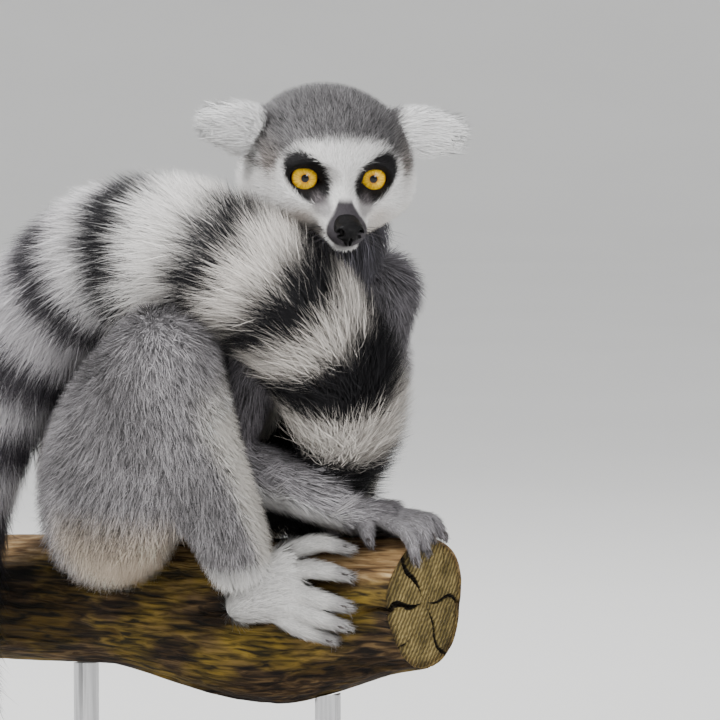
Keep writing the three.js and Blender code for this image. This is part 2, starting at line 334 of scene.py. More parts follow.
def ear_form(label, side, tip_rise):
    stations = [
        (-27, side * 27, 12, 13.5, 8),
        (-25, side * 35, 14, 13.5, 8.5),
        (-23, side * 43, 15 + tip_rise * 0.4, 12.5, 7.5),
        (-21, side * 51, 15 + tip_rise * 0.7, 9.5, 6),
    ]
    return Loft(f"ear_{label}", head_stations(stations), 3.4, HEAD_UP, (1, 0.6), blend=3)


def head_loft(name, stations, depth, caps=(1, 1), blend=4.0):
    return Loft(name, head_stations(stations), depth, HEAD_LEFT, caps, blend)


TAIL_FLESH = 0.62  # the most of the tail's width that is flesh

trunk = Loft("trunk", TRUNK, 9, blend=10)
neck = Loft("neck", NECK, 9, caps=(0.6, 0.6), blend=10)
tail = Loft("tail", TAIL, 11, blend=3, steps=3)
tail.half = np.minimum(tail.half, tail.coat * TAIL_FLESH)
skull = head_loft("skull", SKULL, 4.5, (0.8, 0.3))

BODY_FORMS = [
    trunk,
    neck,
    *leg_forms("right", RIGHT, -1),
    *leg_forms("left", LEFT, 1),
    *arm_forms("right", RIGHT),
    *arm_forms("left", LEFT),
    tail,
]
MUZZLE_TOP = [(-4, 0, -5, 15, 12), (8, 0, -9.5, 13.5, 11), (20, 0, -13.5, 11, 8.8), (29, 0, -15, 9.2, 7.6)]
JAW = [(-14, 0, -19, 17, 9), (4, 0, -20, 11, 6.5), (17, 0, -21.3, 8.2, 4.6), (25, 0, -21.8, 6.6, 4)]
CHEEK = [(-30, 30, -10, 9, 12), (-14, 27, -9, 9.5, 10), (0, 19, -9, 7.5, 7.5), (8, 12, -11, 5, 5.5)]
BRIDGE = [(-8, 0, 8, 9, 7), (0, 0, 1.5, 7.5, 6.5), (8, 0, -4.5, 6.5, 6)]
BROW = [(0, 5, 9.5, 4.5, 3.6), (-0.5, 15, 11.5, 5, 3.8), (-6, 25, 8.5, 5, 4)]


def both_sides(stations):
    return stations, [(x, -y, z, *size) for x, y, z, *size in stations]


HEAD_FORMS = [
    skull,
    head_loft("muzzle", MUZZLE_TOP, 0.8, (0.3, 0.5), 5),
    head_loft("bridge", BRIDGE, 0.8, blend=5),
    head_loft("jaw", JAW, 0.8, (0.5, 0.6), 1.2),
    *[head_loft("cheek", stations, 2.2, blend=7) for stations in both_sides(CHEEK)],
    *[head_loft("brow", stations, 1.4, blend=5) for stations in both_sides(BROW)],
    ear_form("right", -1, 6),
    ear_form("left", 1, 1),
]


# ---- The skin, as the surface of the joined forms ----


def smooth_union(a, b, reach):
    h = np.clip(0.5 + 0.5 * (b - a) / reach, 0, 1)
    return b + (a - b) * h - reach * h * (1 - h)


def field_of(forms, low, pitch, shape):
    """The joined forms' distance field on a grid, each form read only near itself."""
    field = np.full(shape, FAR)
    for form in forms:
        lowest, highest = form.box(form.blend + 2 * pitch)
        first = np.clip(((lowest - low) / pitch).astype(int), 0, np.array(shape) - 1)
        last = np.clip(((highest - low) / pitch).astype(int) + 2, 0, shape)
        if (last <= first).any():
            continue
        axes = [low[k] + pitch * np.arange(first[k], last[k]) for k in range(3)]
        points = np.stack(np.meshgrid(*axes, indexing="ij"), axis=-1).reshape(-1, 3)
        part = tuple(slice(first[k], last[k]) for k in range(3))
        own = form.read(points, reach=form.blend + 2 * pitch)[0].reshape(field[part].shape)
        field[part] = smooth_union(field[part], own, form.blend)
    return field


def surface_of(field, low, pitch):
    """Surface nets: a vertex in each cell that the surface crosses, and a quad round each edge it cuts."""
    cells = np.array(field.shape) - 1
    stride = np.array([cells[1] * cells[2], cells[2], 1])
    total = np.zeros((cells.prod(), 3))
    count = np.zeros(cells.prod())
    quads = []
    for axis in range(3):
        along = np.moveaxis(field, axis, 0)
        a, b = np.moveaxis(along[:-1], 0, axis), np.moveaxis(along[1:], 0, axis)
        i = np.argwhere((a < 0) != (b < 0))
        va, vb = a[tuple(i.T)], b[tuple(i.T)]
        place = i.astype(float)
        place[:, axis] += va / (va - vb)
        u, v = (axis + 1) % 3, (axis + 2) % 3
        inner = (i[:, u] > 0) & (i[:, v] > 0) & (i[:, u] < cells[u]) & (i[:, v] < cells[v])
        i, place, va = i[inner], place[inner], va[inner]
        around = []
        for du, dv in ((-1, -1), (0, -1), (0, 0), (-1, 0)):
            cell = i.copy()
            cell[:, u] += du
            cell[:, v] += dv
            index = cell @ stride
            around.append(index)
            for k in range(3):
                total[:, k] += np.bincount(index, place[:, k], len(total))
            count += np.bincount(index, minlength=len(count))
        quad = np.stack(around, axis=1)
        quad[va >= 0] = quad[va >= 0][:, ::-1]
        quads.append(quad)
    quads = np.vstack(quads)
    used, faces = np.unique(quads, return_inverse=True)
    points = low + pitch * total[used] / count[used, None]
    return points, faces.reshape(-1, 4)


CARVE_REACH = 4


def shell(forms, pitch, carve=None):
    """One closed surface round the forms, after `carve` has worked on the field."""
    boxes = [form.box(3 * pitch) for form in forms]
    low = np.min([b[0] for b in boxes], axis=0)
    high = np.max([b[1] for b in boxes], axis=0)
    shape = tuple(np.ceil((high - low) / pitch).astype(int) + 1)
    field = field_of(forms, low, pitch, shape)
    if carve:
        axes = [low[k] + pitch * np.arange(shape[k]) for k in range(3)]
        near = np.argwhere(field < CARVE_REACH)
        points = np.stack([axes[k][near[:, k]] for k in range(3)], axis=1)
        field[tuple(near.T)] = carve(points, field[tuple(near.T)])
    return surface_of(field, low, pitch)


GAZE = (1, -0.08, 0.2)
LID_RADIUS, SOCKET_RADIUS = 9.3, EYE_RADIUS + 0.05
# The opening between the lids, for each side: its half width and height and its middle, as shares of a
# sphere's radius. Its pointed inner corner is given in shares of its half width and height.
OPENING_HALF = {-1: (0.74, 0.54), 1: (0.64, 0.54)}
OPENING_SHIFT = {-1: (-0.085, 0.12), 1: (0.03, 0.12)}
CORNER_AT, CORNER_HALF = (0.98, -0.3), (0.22, 0.18)
LID_BLEND, LID_SLOPE, LID_EDGE = 3.0, 6, 0.6


def from_eye(local, side):
    """From an eye's centre to points of the head's frame, as vectors and as distances."""
    v = local - (EYE_FORWARD, side * EYE_APART, EYE_UP)
    return v, norms(v)


def lid_ratio(v, far, side):
    """How far out of the opening between the lids a direction from the eye's centre is: 1 at their edge."""
    y, z = ((v / far[:, None])[:, 1:] - OPENING_SHIFT[side]).T / np.array(OPENING_HALF[side])[:, None]
    corner = np.hypot((y * -side - CORNER_AT[0]) / CORNER_HALF[0], (z - CORNER_AT[1]) / CORNER_HALF[1])
    return np.minimum(np.hypot(y, z), 0.75 + 0.25 * corner + np.maximum(far - LID_RADIUS - 0.8, 0))


def carve_head(points, field):
    """Lids over the eyes with the opening between them, and the eyes' hollows."""
    local = to_head(points)
    for side in (-1, 1):
        v, far = from_eye(local, side)
        field = smooth_union(field, far - LID_RADIUS, LID_BLEND)
        opening = (lid_ratio(v, far, side) - 1) * LID_SLOPE
        opening[v[:, 0] < 0] = FAR
        field = -smooth_union(-field, opening, LID_EDGE)
        field = np.maximum(field, SOCKET_RADIUS - far)
    return field


LIMB_ENDS = {
    "hand_right": hand_forms("right", RIGHT, -1, 0, HOLDING_FINGERS),
    "hand_left": hand_forms("left", LEFT, 1, 32, RESTING_FINGERS),
    "foot_right": foot_forms("right", RIGHT, -1, 0),
    "foot_left": foot_forms("left", LEFT, 1, -18),
}


def end_forms(*kinds):
    return [form for forms in LIMB_ENDS.values() for form in forms if form.name.startswith(kinds)]


# ---- Meshes and materials ----


def ring_quads(first, second, sides):
    """The quads between two rings of points, whose numbers start at `first` and `second`."""
    j = np.arange(sides)
    k = (j + 1) % sides
    return np.stack((first + j, second + j, second + k, first + k), axis=1)


def tube_quads(rings, sides, start=0):
    """The quads round a row of rings of points."""
    firsts = start + sides * np.arange(rings - 1)
    return np.vstack([ring_quads(first, first + sides, sides) for first in firsts])


def flattened(*groups):
    """Faces given as arrays of triangles, quads and so on, as a flat list of corners and of their sizes."""
    sizes = [np.full(len(group), group.shape[1]) for group in groups]
    return np.concatenate([group.ravel() for group in groups]), np.concatenate(sizes)


def mesh_object(name, points, loops, sizes, material, slot):
    """An object from points in millimetres, with faces as a flat list of corners and of their sizes."""
    mesh = bpy.data.meshes.new(name)
    mesh.vertices.add(len(points))
    mesh.vertices.foreach_set("co", (np.asarray(points) * MM).astype(np.float32).ravel())
    mesh.loops.add(len(loops))
    mesh.loops.foreach_set("vertex_index", np.asarray(loops, np.int32))
    mesh.polygons.add(len(sizes))
    mesh.polygons.foreach_set("loop_start", np.concatenate(([0], np.cumsum(sizes)[:-1])).astype(np.int32))
    mesh.polygons.foreach_set("use_smooth", np.ones(len(sizes), bool))
    mesh.update(calc_edges=True)
    mesh.materials.append(material)
    piece = bpy.data.objects.new(name, mesh)
    bpy.context.scene.collection.objects.link(piece)
    if slot:
        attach(piece, "root")
    return piece


def set_attribute(piece, name, values):
    """A number, or a colour, for each vertex."""
    kind, field = ("FLOAT", "value") if values.ndim == 1 else ("FLOAT_COLOR", "color")
    if values.ndim == 2 and values.shape[1] == 3:
        values = np.hstack((values, np.ones((len(values), 1))))
    layer = piece.data.attributes.new(name, kind, "POINT")
    layer.data.foreach_set(field, values.astype(np.float32).ravel())


def linear(r, g, b):
    """A colour from its screen values, 0 to 255."""
    return tuple(((c / 255 + 0.055) / 1.055) ** 2.4 if c > 10 else c / 255 / 12.92 for c in (r, g, b))


class Nodes:
    """Short calls for the nodes of one material."""

    def __init__(self, name, roughness, specular=0.5):
        self.material = bpy.data.materials.new(name)
        self.material.use_nodes = True
        self.tree = self.material.node_tree
        self.shader = self.tree.nodes["Principled BSDF"]
        self.shader.inputs["Roughness"].default_value = roughness
        self.shader.inputs["Specular IOR Level"].default_value = specular

    def add(self, kind, **settings):
        node = self.tree.nodes.new("ShaderNode" + kind)
        for name, value in settings.items():
            setattr(node, name, value)
        return node

    def join(self, source, target):
        self.tree.links.new(source, target)

    def attribute(self, name, output="Color"):
        return self.add("Attribute", attribute_name=name).outputs[output]

    def place(self, scale=(1, 1, 1), turn=(0, 0, 0), shift=(0, 0, 0)):
        """Object coordinates in metres, scaled, turned and shifted."""
        mapping = self.add("Mapping")
        mapping.inputs["Location"].default_value = shift
        mapping.inputs["Scale"].default_value = scale
        mapping.inputs["Rotation"].default_value = turn
        self.join(self.add("TexCoord").outputs["Object"], mapping.inputs["Vector"])
        return mapping.outputs["Vector"]

    def noise(self, scale, detail=4.0, vector=None, distortion=0.0):
        node = self.add("TexNoise")
        node.inputs["Scale"].default_value = scale
        node.inputs["Detail"].default_value = detail
        node.inputs["Distortion"].default_value = distortion
        self.join(vector or self.place(), node.inputs["Vector"])
        return node.outputs["Fac"]

    def wave(self, kind, direction, vector, **settings):
        """Waves in rings or bands; a setting's name is its input's, with _ for a space."""
        node = self.add("TexWave", wave_type=kind, **{f"{kind.lower()}_direction": direction})
        for name, value in settings.items():
            node.inputs[name.replace("_", " ")].default_value = value
        self.join(vector, node.inputs["Vector"])
        return node.outputs["Fac"]

    def ramp(self, factor, *stops):
        node = self.add("ValToRGB")
        elements = node.color_ramp.elements
        while len(elements) < len(stops):
            elements.new(0.5)
        for element, (at, colour) in zip(elements, stops):
            element.position, element.color = at, (*colour, 1)
        self.join(factor, node.inputs["Fac"])
        return node.outputs["Color"]

    def tones(self, factor, *stops):
        """A ramp whose stops are a place and a colour's three screen values."""
        return self.ramp(factor, *((at, linear(*rgb)) for at, *rgb in stops))

    def blend(self, a, b, factor, mode="MIX"):
        node = self.add("Mix", data_type="RGBA", blend_type=mode)
        colours = [socket for socket in node.inputs if socket.type == "RGBA"]
        for value, target in zip((factor, a, b), (node.inputs["Factor"], *colours)):
            if isinstance(value, bpy.types.NodeSocket):
                self.join(value, target)
            else:
                target.default_value = (*value, 1) if target in colours else value
        return next(socket for socket in node.outputs if socket.type == "RGBA")

    def shade(self, tone, factor, *stops, amount=1.0):
        """The tone, multiplied by a ramp of the factor."""
        return self.blend(tone, self.ramp(factor, *stops), amount, "MULTIPLY")

    def bump(self, height, strength, distance):
        node = self.add("Bump")
        node.inputs["Strength"].default_value = strength
        node.inputs["Distance"].default_value = distance
        self.join(height, node.inputs["Height"])
        self.join(node.outputs["Normal"], self.shader.inputs["Normal"])

    def colour(self, socket):
        self.join(socket, self.shader.inputs["Base Color"])
        return self.material


def grey(value):
    return value, value, value


NONE, FULL = grey(0), grey(1)
# Painted shade: the skin's markings are darkened, as the skin lies in shade under the coat.
SKIN_PAINTED_SHADE = 0.7


def skin_material():
    nodes = Nodes("skin", 0.75, 0.25)
    strands = nodes.noise(900, 5, nodes.place((1, 1, 0.35)))
    nodes.bump(strands, 0.6, 0.0006)
    mottled = (0.3, grey(0.72)), (0.7, grey(1.1))
    return nodes.colour(nodes.shade(nodes.attribute("tint"), strands, *mottled, amount=0.6))


def speckled(name, roughness, specular, scale, low, high, bumps=()):
    """A material that wanders between two tones. Bumps have a noise's scale, a strength and a distance."""
    nodes = Nodes(name, roughness, specular)
    for size, strength, distance in bumps:
        nodes.bump(nodes.noise(size), strength, distance)
    return nodes.colour(nodes.tones(nodes.noise(scale), (0.3, *low), (0.7, *high)))


FLESH = ("head", "muzzle", "ear", "neck", "trunk", "tail")
FLESH += ("upper_arm", "forearm", "hand", "thigh", "shank", "foot")
BODY_PITCH, FACE_PITCH, END_PITCH = 2.8, 0.9, 1.2


def make_skin():
    shells = [shell(BODY_FORMS, BODY_PITCH), shell(HEAD_FORMS, FACE_PITCH, carve_head)]
    shells += [shell(forms, END_PITCH) for forms in LIMB_ENDS.values()]
    points = np.vstack([s[0] for s in shells])
    starts = np.cumsum([0] + [len(s[0]) for s in shells[:-1]])
    faces = np.vstack([s[1] + start for s, start in zip(shells, starts)])
    piece = mesh_object("skin", points, *flattened(faces), skin_material(), "coat_back")
    tints = []
    for forms, mesh in zip((BODY_FORMS, HEAD_FORMS, *LIMB_ENDS.values()), shells):
        roots = Roots(forms, mesh[0], corner_normals(*mesh)[0])
        roots.settle()
        # The skin's markings, darkened by painted shade.
        tints.append(roots.tint(0.0) * SKIN_PAINTED_SHADE)
    set_attribute(piece, "tint", np.vstack(tints))
    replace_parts(piece, *[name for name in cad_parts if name.startswith(FLESH)])
    return shells


# ---- Markings ----

WHITE, CREAM, CHEEK_SHADE = linear(238, 236, 234), linear(196, 180, 160), linear(165, 135, 110)
BLACK, CHEST_SHADE, EAR_WHITE = linear(20, 19, 22), linear(62, 60, 66), linear(250, 249, 248)
CROWN, BACK, TEMPLE = linear(94, 92, 93), linear(118, 108, 102), linear(135, 126, 120)
MUZZLE_TONE, EYE_PATCH = linear(64, 60, 64), linear(20, 18, 20)
LID_TONE, UNDER_EYE_SHADE = linear(84, 70, 68), linear(110, 104, 106)
ARM, ELBOW, FOREARM = linear(94, 91, 95), linear(112, 108, 112), linear(118, 115, 118)
LEG, SHIN = linear(142, 139, 141), linear(205, 200, 192)
HAND, FINGERTIP = linear(158, 155, 158), linear(110, 106, 110)
FOOT, TOETIP = linear(226, 224, 221), linear(120, 116, 118)
FAR_WHITE, FAR_BLACK = linear(168, 164, 170), linear(58, 55, 60)

# Where each band's hair roots end along the tail, from 0 to 1: black, white and so on, the rest is black
BAND_ENDS = (
    (0.284, 0.327, 0.380, 0.404, 0.436, 0.463, 0.490, 0.530)
    + (0.565, 0.598, 0.629, 0.670, 0.705, 0.733, 0.768, 0.798)
)
BAND_BLUR = 0.004
SHIN_FACES = np.array((0.82, 0.57, 0))
NAPE_Z, HAUNCH_Z, CHEST_X = 322, 196, (45, 65)


def rise(value, low, high):
    """0 below the low edge, 1 above the high one, and smooth between them."""
    t = np.clip((value - low) / (high - low), 0, 1)
    return t * t * (3 - 2 * t)


def paint(colour, over, amount):
    return colour + (np.array(over) - colour) * amount[:, None]


def flat(colour, count):
    return np.tile(np.array(colour), (count, 1))


def spot(m, z, at, size):
    """A soft spot on both sides of the head: 1 at its middle."""
    return np.exp(-(((m - at[0]) / size[0]) ** 2) - ((z - at[1]) / size[1]) ** 2)


def crown_mask(x, m, z):
    """The grey cap over the brow line, and the nape."""
    brow = np.interp(m, (0, 12, 20, 27, 31, 36, 40), (20.5, 19.5, 17, 11, 3, 2, 6))
    crown = rise(z - brow, -2.5, 2.5) * rise(-x, -12, -4)
    return np.maximum(crown, rise(-x, 30, 38) * rise(z + 0.6 * (-x - 30), -12, 0))


def ear_mask(x, m, z):
    ear = rise(m, 32, 36) * rise(z - 0.5 * (m - 34), 3, 8) * rise(-x, 8, 13) * rise(x, -46, -38)
    return np.maximum(ear, rise(m, 36, 39))


def patch_mask(x, m, z):
    """The black patch round each eye, an ellipse that leans up and out."""
    a, b, turn = m - 15.7, z - 4.2, math.radians(50)
    u, v = a * math.cos(turn) + b * math.sin(turn), b * math.cos(turn) - a * math.sin(turn)
    return (1 - rise(np.sqrt((u / 12.8) ** 2 + (v / 9.3) ** 2), 0.86, 1.08)) * rise(x, -16, -10)


def lid_mask(local, side):
    """The bare rim of the lids."""
    v, far = from_eye(local, side)
    ratio = lid_ratio(v, far, side)
    ring = rise(ratio, 1.04, 1.15) * rise(-ratio, -1.5, -1.25)
    return ring * rise(LID_RADIUS + 2 - far, 0, 1) * (v[:, 0] > 0)


def muzzle_mask(x, m, z):
    """The dark bridge, which widens towards the nose, and the muzzle's end."""
    width = np.interp(x, (11, 16, 20, 24, 28, 34), (0.3, 2.2, 4, 6.5, 11, 20))
    bridge = (1 - rise(m / np.maximum(width, 0.1), 0.85, 1.15)) * rise(-z, 2, 5)
    end = rise(x, 24, 28) * rise(z, -26, -24)
    return np.maximum(bridge * rise(x, 9, 11) * rise(z, -20, -17), end)


def head_tint(points):
    local = to_head(points)
    x, y, z = local.T
    m = np.abs(y)
    tone = paint(flat(WHITE, len(x)), CREAM, 0.55 * rise(-z, 8, 26) * rise(-x, -24, 6))
    tone = paint(tone, CROWN, crown_mask(x, m, z))
    tone = paint(tone, TEMPLE, 0.75 * spot(m, z, (29, 5), (5, 8)) * rise(-x, -4, 4))
    tone = paint(tone, EAR_WHITE, ear_mask(x, m, z))
    # Painted shade: a warm brown-tan patch below each eye, beside the muzzle.
    tone = paint(tone, CHEEK_SHADE, 0.35 * spot(m, z, (17, -13), (6, 4)) * rise(x, -6, 2))
    tone = paint(tone, EYE_PATCH, patch_mask(x, m, z))
    for side in (-1, 1):
        tone = paint(tone, LID_TONE, 0.7 * lid_mask(local, side))
    # Painted shade: grey below the inner corner of each eye.
    under_eye = 1 - rise(np.hypot((m - 10) / 5, (z + 7) / 4.5), 0.5, 1.2)
    tone = paint(tone, UNDER_EYE_SHADE, 0.7 * under_eye * rise(x, 0, 5))
    return paint(tone, MUZZLE_TONE, muzzle_mask(x, m, z))


def tail_tint(t, angle):
    """Bands with ragged edges, where the hair of one band lies over the next."""
    ragged = 0.0035 * np.sin(9 * angle + 40 * t) + 0.0025 * np.sin(23 * angle + 1)
    at = t + ragged + random.normal(0, 0.0018, len(t))
    white = sum(np.searchsorted(BAND_ENDS, at + step) % 2 for step in (-BAND_BLUR, 0, BAND_BLUR)) / 3
    pale = paint(flat(WHITE, len(t)), CREAM, 0.45 * (1 - rise(t, 0.42, 0.56)))
    pale = paint(pale, FAR_WHITE, 0.75 * rise(t, 0.5, 0.64))
    dark = paint(flat(BLACK, len(t)), FAR_BLACK, rise(t, 0.52, 0.7) * rise(-t, -0.86, -0.8))
    return paint(dark, pale, white)


def side_of(form):
    return -1 if "right" in form.name else 1


def trunk_tint(place, normal):
    """A brown-grey back, a cream belly, a grey nape, and a chest darkened with painted shade under the chin,
    where the tail's black band lies.
    """
    tone = paint(flat(BACK, len(place)), CREAM, rise(-normal[:, 2], 0.1, 0.7))
    tone = paint(tone, CROWN, 0.85 * rise(place[:, 2], NAPE_Z - 22, NAPE_Z))
    # Painted shade: the chest under the chin is darkened, standing in for the shade there and the tail's black
    # band.
    return paint(tone, CHEST_SHADE, rise(normal[:, 0], 0.25, 0.7) * rise(place[:, 0], *CHEST_X))


def thigh_tint(place, normal, side):
    """Grey, with a cream lower edge and a pale inner side."""
    low = rise(HAUNCH_Z - place[:, 2], 0, 26) * rise(place[:, 0], -45, -20)
    tone = paint(flat(LEG, len(place)), CREAM, low * 0.9)
    return paint(tone, SHIN, 0.8 * rise(normal[:, 1] * -side, 0.2, 0.7))


def shank_tint(normal, t):
    """Grey, with a pale shin and a white ankle."""
    shin = rise(normal @ SHIN_FACES, 0.15, 0.7) * rise(t, 0.05, 0.3)
    tone = paint(flat(LEG, len(t)), SHIN, 0.85 * shin)
    return paint(tone, FOOT, rise(t, 0.8, 1.0))


def forearm_tint(normal, t):
    """Dark grey above and pale towards the hand and below."""
    tone = paint(flat(FOREARM, len(t)), HAND, rise(t, 0.3, 0.9))
    return paint(tone, FOOT, 0.6 * rise(-normal[:, 2], 0.1, 0.7))


def form_tint(form, place, normal, t, angle):
    """A form's markings at places on it, given their normals, their t from 0 to 1 along it and their angles."""
    kind, count = form.name, len(place)
    if form in HEAD_FORMS:
        return head_tint(place)
    if kind == "tail":
        return tail_tint(t, angle)
    if kind in ("trunk", "neck"):
        return trunk_tint(place, normal)
    if kind.startswith("thigh"):
        return thigh_tint(place, normal, side_of(form))
    if kind.startswith("shank"):
        return shank_tint(normal, t)
    if kind.startswith("upper_arm"):
        return paint(flat(ARM, count), ELBOW, 0.6 * rise(t, 0.3, 0.8))
    if kind.startswith("forearm"):
        return forearm_tint(normal, t)
    if kind.startswith("toe"):
        return paint(flat(FOOT, count), TOETIP, 0.6 * rise(t, 0.7, 1.0))
    if kind.startswith(("palm", "finger")):
        return paint(flat(HAND, count), FINGERTIP, 0.6 * rise(t, 0.4, 1.0))
    return flat(FOOT, count)


# ---- The coat ----

NOSE_TIP = (36, 0, -13)
NOSE_PAD, BARE_REACH = (34, 0, -12), 8
FROM_NOSE = (0, 10, 24, 40, 60, 90)
FACE_LENGTHS, FACE_HEIGHTS = (1.2, 2.0, 3.4, 4.8, 5.6, 10), (0.3, 0.5, 1.0, 3.0, 4.0, 4.6)
FRINGE_TOP, TIP_REACH = 200, 45
MOST_TRIANGLES = 190000
PATCH = 0.003
LOOK_AHEAD = 0.6
ROOT_REACH, MEETING, LEAST_WEIGHT = 22, 3.5, 0.02


class Coat:
    """How one kind of fur grows. Lengths in mm, roots per square mm, and shares of strays and clumping."""

    def __init__(self, length, width, locks, hairs, stray=0.16, clump=0.3, clump_size=4.0):
        self.length, self.width, self.locks, self.hairs = length, width, locks, hairs
        self.stray, self.clump, self.clump_size = stray, clump, clump_size


COATS = {
    "tail": Coat(27, 0.52, 0.17, 1.65, 0.24, 0.22, 5),
    "trunk": Coat(22, 0.8, 0.2, 0.7, 0.16, 0.35, 6),
    "neck": Coat(19, 0.8, 0.2, 0.8, 0.16, 0.35, 6),
    "thigh": Coat(9, 0.58, 0, 1.3, 0.36, 0.3, 4),
    "shank": Coat(8.5, 0.58, 0, 1.6, 0.32, 0.3, 4),
    "upper_arm": Coat(13, 0.65, 0, 1.65, 0.18, 0.32, 4),
    "forearm": Coat(9, 0.55, 0, 2.0, 0.17, 0.3, 4),
    "skull": Coat(7.5, 0.42, 0, 3.0, 0.42, 0.3, 2.5),
    "cheek": Coat(8, 0.42, 0, 3.0, 0.16, 0.25, 3),
    "muzzle": Coat(3, 0.3, 0, 3.6, 0.12, 0.1, 2),
    "jaw": Coat(3, 0.3, 0, 3.0, 0.12, 0.1, 2),
    "bridge": Coat(3, 0.3, 0, 3.6, 0.12, 0.1, 2),
    "brow": Coat(4, 0.34, 0, 3.8, 0.14, 0.15, 2),
    "ear": Coat(11, 0.45, 0.9, 4.4, 0.15, 0.2, 3),
    "sole": Coat(9, 0.6, 0, 1.6, 0.16, 0.45, 4),
    "toe": Coat(7, 0.5, 0, 1.8, 0.16, 0.5, 3.5),
    "palm": Coat(7, 0.5, 0, 1.7, 0.15, 0.4, 3),
    "finger": Coat(5, 0.42, 0, 1.9, 0.14, 0.45, 3),
}


def coat_of(form):
    return next(coat for name, coat in COATS.items() if form.name.startswith(name))


def corner_normals(points, faces):
    """Smooth normals at a quad mesh's points, and the area of each face."""
    a, b, c, d = points[faces].swapaxes(0, 1)
    face = np.cross(c - a, d - b)
    total = [np.bincount(faces.ravel(), np.repeat(face[:, k], 4), len(points)) for k in range(3)]
    return unit(np.stack(total, axis=1)), norms(face) / 2


def scatter_roots(points, faces, per_mm2):
    """Places spread evenly over a shell, with the shell's normals there."""
    normals, area = corner_normals(points, faces)
    count = int(area.sum() * per_mm2)
    pick = faces[random.choice(len(faces), count, p=area / area.sum())]
    u, v = random.random((2, count, 1))
    weights = ((1 - u) * (1 - v), u * (1 - v), u * v, (1 - u) * v)
    place = sum(points[pick[:, k]] * w for k, w in enumerate(weights))
    return place, unit(sum(normals[pick[:, k]] * w for k, w in enumerate(weights)))


TRUNK_LIE, HAUNCH_LIE, KNEE_LIE = (-0.15, 0, -0.55), np.array((-0.30, 0, -1)), np.array((0.5, 0.62, -0.6))
FACE_FLATTENING = (1, 1, 0.8)


def flow(form, length, place):
    """The lie of the fur on a form: back and down on the trunk, down over the haunch, and off the nose."""
    ahead = form.heading(length)
    if form.name in ("trunk", "neck"):
        return unit(TRUNK_LIE - ahead)
    if form.name.startswith("thigh"):
        knee = rise(length / form.length[-1], 0.45, 0.95)[:, None]
        return unit(HAUNCH_LIE * (1 - knee) + KNEE_LIE * (1, side_of(form), 1) * knee)
    if form in HEAD_FORMS and not form.name.startswith("ear"):
        return unit((to_head(place) - NOSE_TIP) * FACE_FLATTENING) @ HEAD_AXES.T
    return ahead


class Roots:
    """Places on a shell where tufts grow, with the forms that they grow on."""

    def __init__(self, forms, place, normal):
        self.forms, self.place, self.normal = forms, place, normal
        self.read = np.stack([form.read(place, ROOT_REACH) for form in forms])
        self.nearest = self.read[:, 0].argmin(axis=0)

    def keep(self, stay):
        for name in ("place", "normal", "nearest", "lie", "size", "height"):
            if hasattr(self, name):
                setattr(self, name, getattr(self, name)[stay])
        self.read = self.read[:, :, stay]

    def own(self, k):
        """For each root, one number of its own form: 1 is the length along it, 2 and 3 the offsets."""
        return np.take_along_axis(self.read[:, k], self.nearest[None], 0)[0]

    def of_coat(self, field):
        return np.array([getattr(coat_of(form), field) for form in self.forms])[self.nearest]

    def settle(self):
        """The lie, length and height of the tufts, blended where forms meet."""
        weight = np.exp(-np.maximum(self.read[:, 0], 0) / MEETING)
        self.lie = np.zeros_like(self.place)
        self.size, self.height = np.zeros((2, len(self.place)))
        for form, numbers, w in zip(self.forms, self.read, weight):
            near = w > LEAST_WEIGHT
            length = coat_of(form).length
            self.lie[near] += w[near, None] * flow(form, numbers[1, near] + length / 2, self.place[near])
            left = form.length[-1] - numbers[1, near] + form.coat[-1].min()
            self.size[near] += w[near] * (np.minimum(length, left) if form.name == "tail" else length)
            cover = (form.coat - form.half).mean(axis=1)
            self.height[near] += w[near] * np.interp(numbers[1, near], form.length, cover)
        total = weight.sum(axis=0)
        self.size, self.height = self.size / total, self.height / total
        self.lie = unit(level(self.lie, self.normal))

    def tint(self, ahead):
        """The markings where the tufts show, which is a share of their length ahead of their roots."""
        tint = np.zeros_like(self.place)
        place = self.place + self.lie * (self.size * ahead)[:, None]
        for i, form in enumerate(self.forms):
            mine = self.nearest == i
            length = self.read[i, 1, mine] + self.size[mine] * (0 if form is tail else ahead)
            station = np.interp(length, form.length, np.linspace(0, 1, len(form.length)))
            angle = np.arctan2(self.read[i, 3, mine], self.read[i, 2, mine])
            tint[mine] = form_tint(form, place[mine], self.normal[mine], station, angle)
        return tint

    def on_map(self):
        """Each root's place on an unwrap of the skin: a strip for each form, along it and round it."""
        total = np.array([form.length[-1] for form in self.forms])[self.nearest]
        turn = np.arctan2(self.own(3), self.own(2)) / (2 * math.pi) + 0.5
        strip = (self.nearest + np.clip(self.own(1) / total, 0, 1)) / len(self.forms)
        return np.stack((turn, strip), axis=1)


def clumped(place, cell):
    """For each place, the way to the middle of the clump that it is in."""
    index = np.floor(place / cell[:, None] + random.uniform(0, 1, 3)).astype(int)
    _, group = np.unique(index, axis=0, return_inverse=True)
    group = group.ravel()
    members = np.bincount(group)
    centre = np.stack([np.bincount(group, place[:, k])[group] / members[group] for k in range(3)], axis=1)
    return centre - place


def level(v, normal):
    return v - (v * normal).sum(axis=1)[:, None] * normal


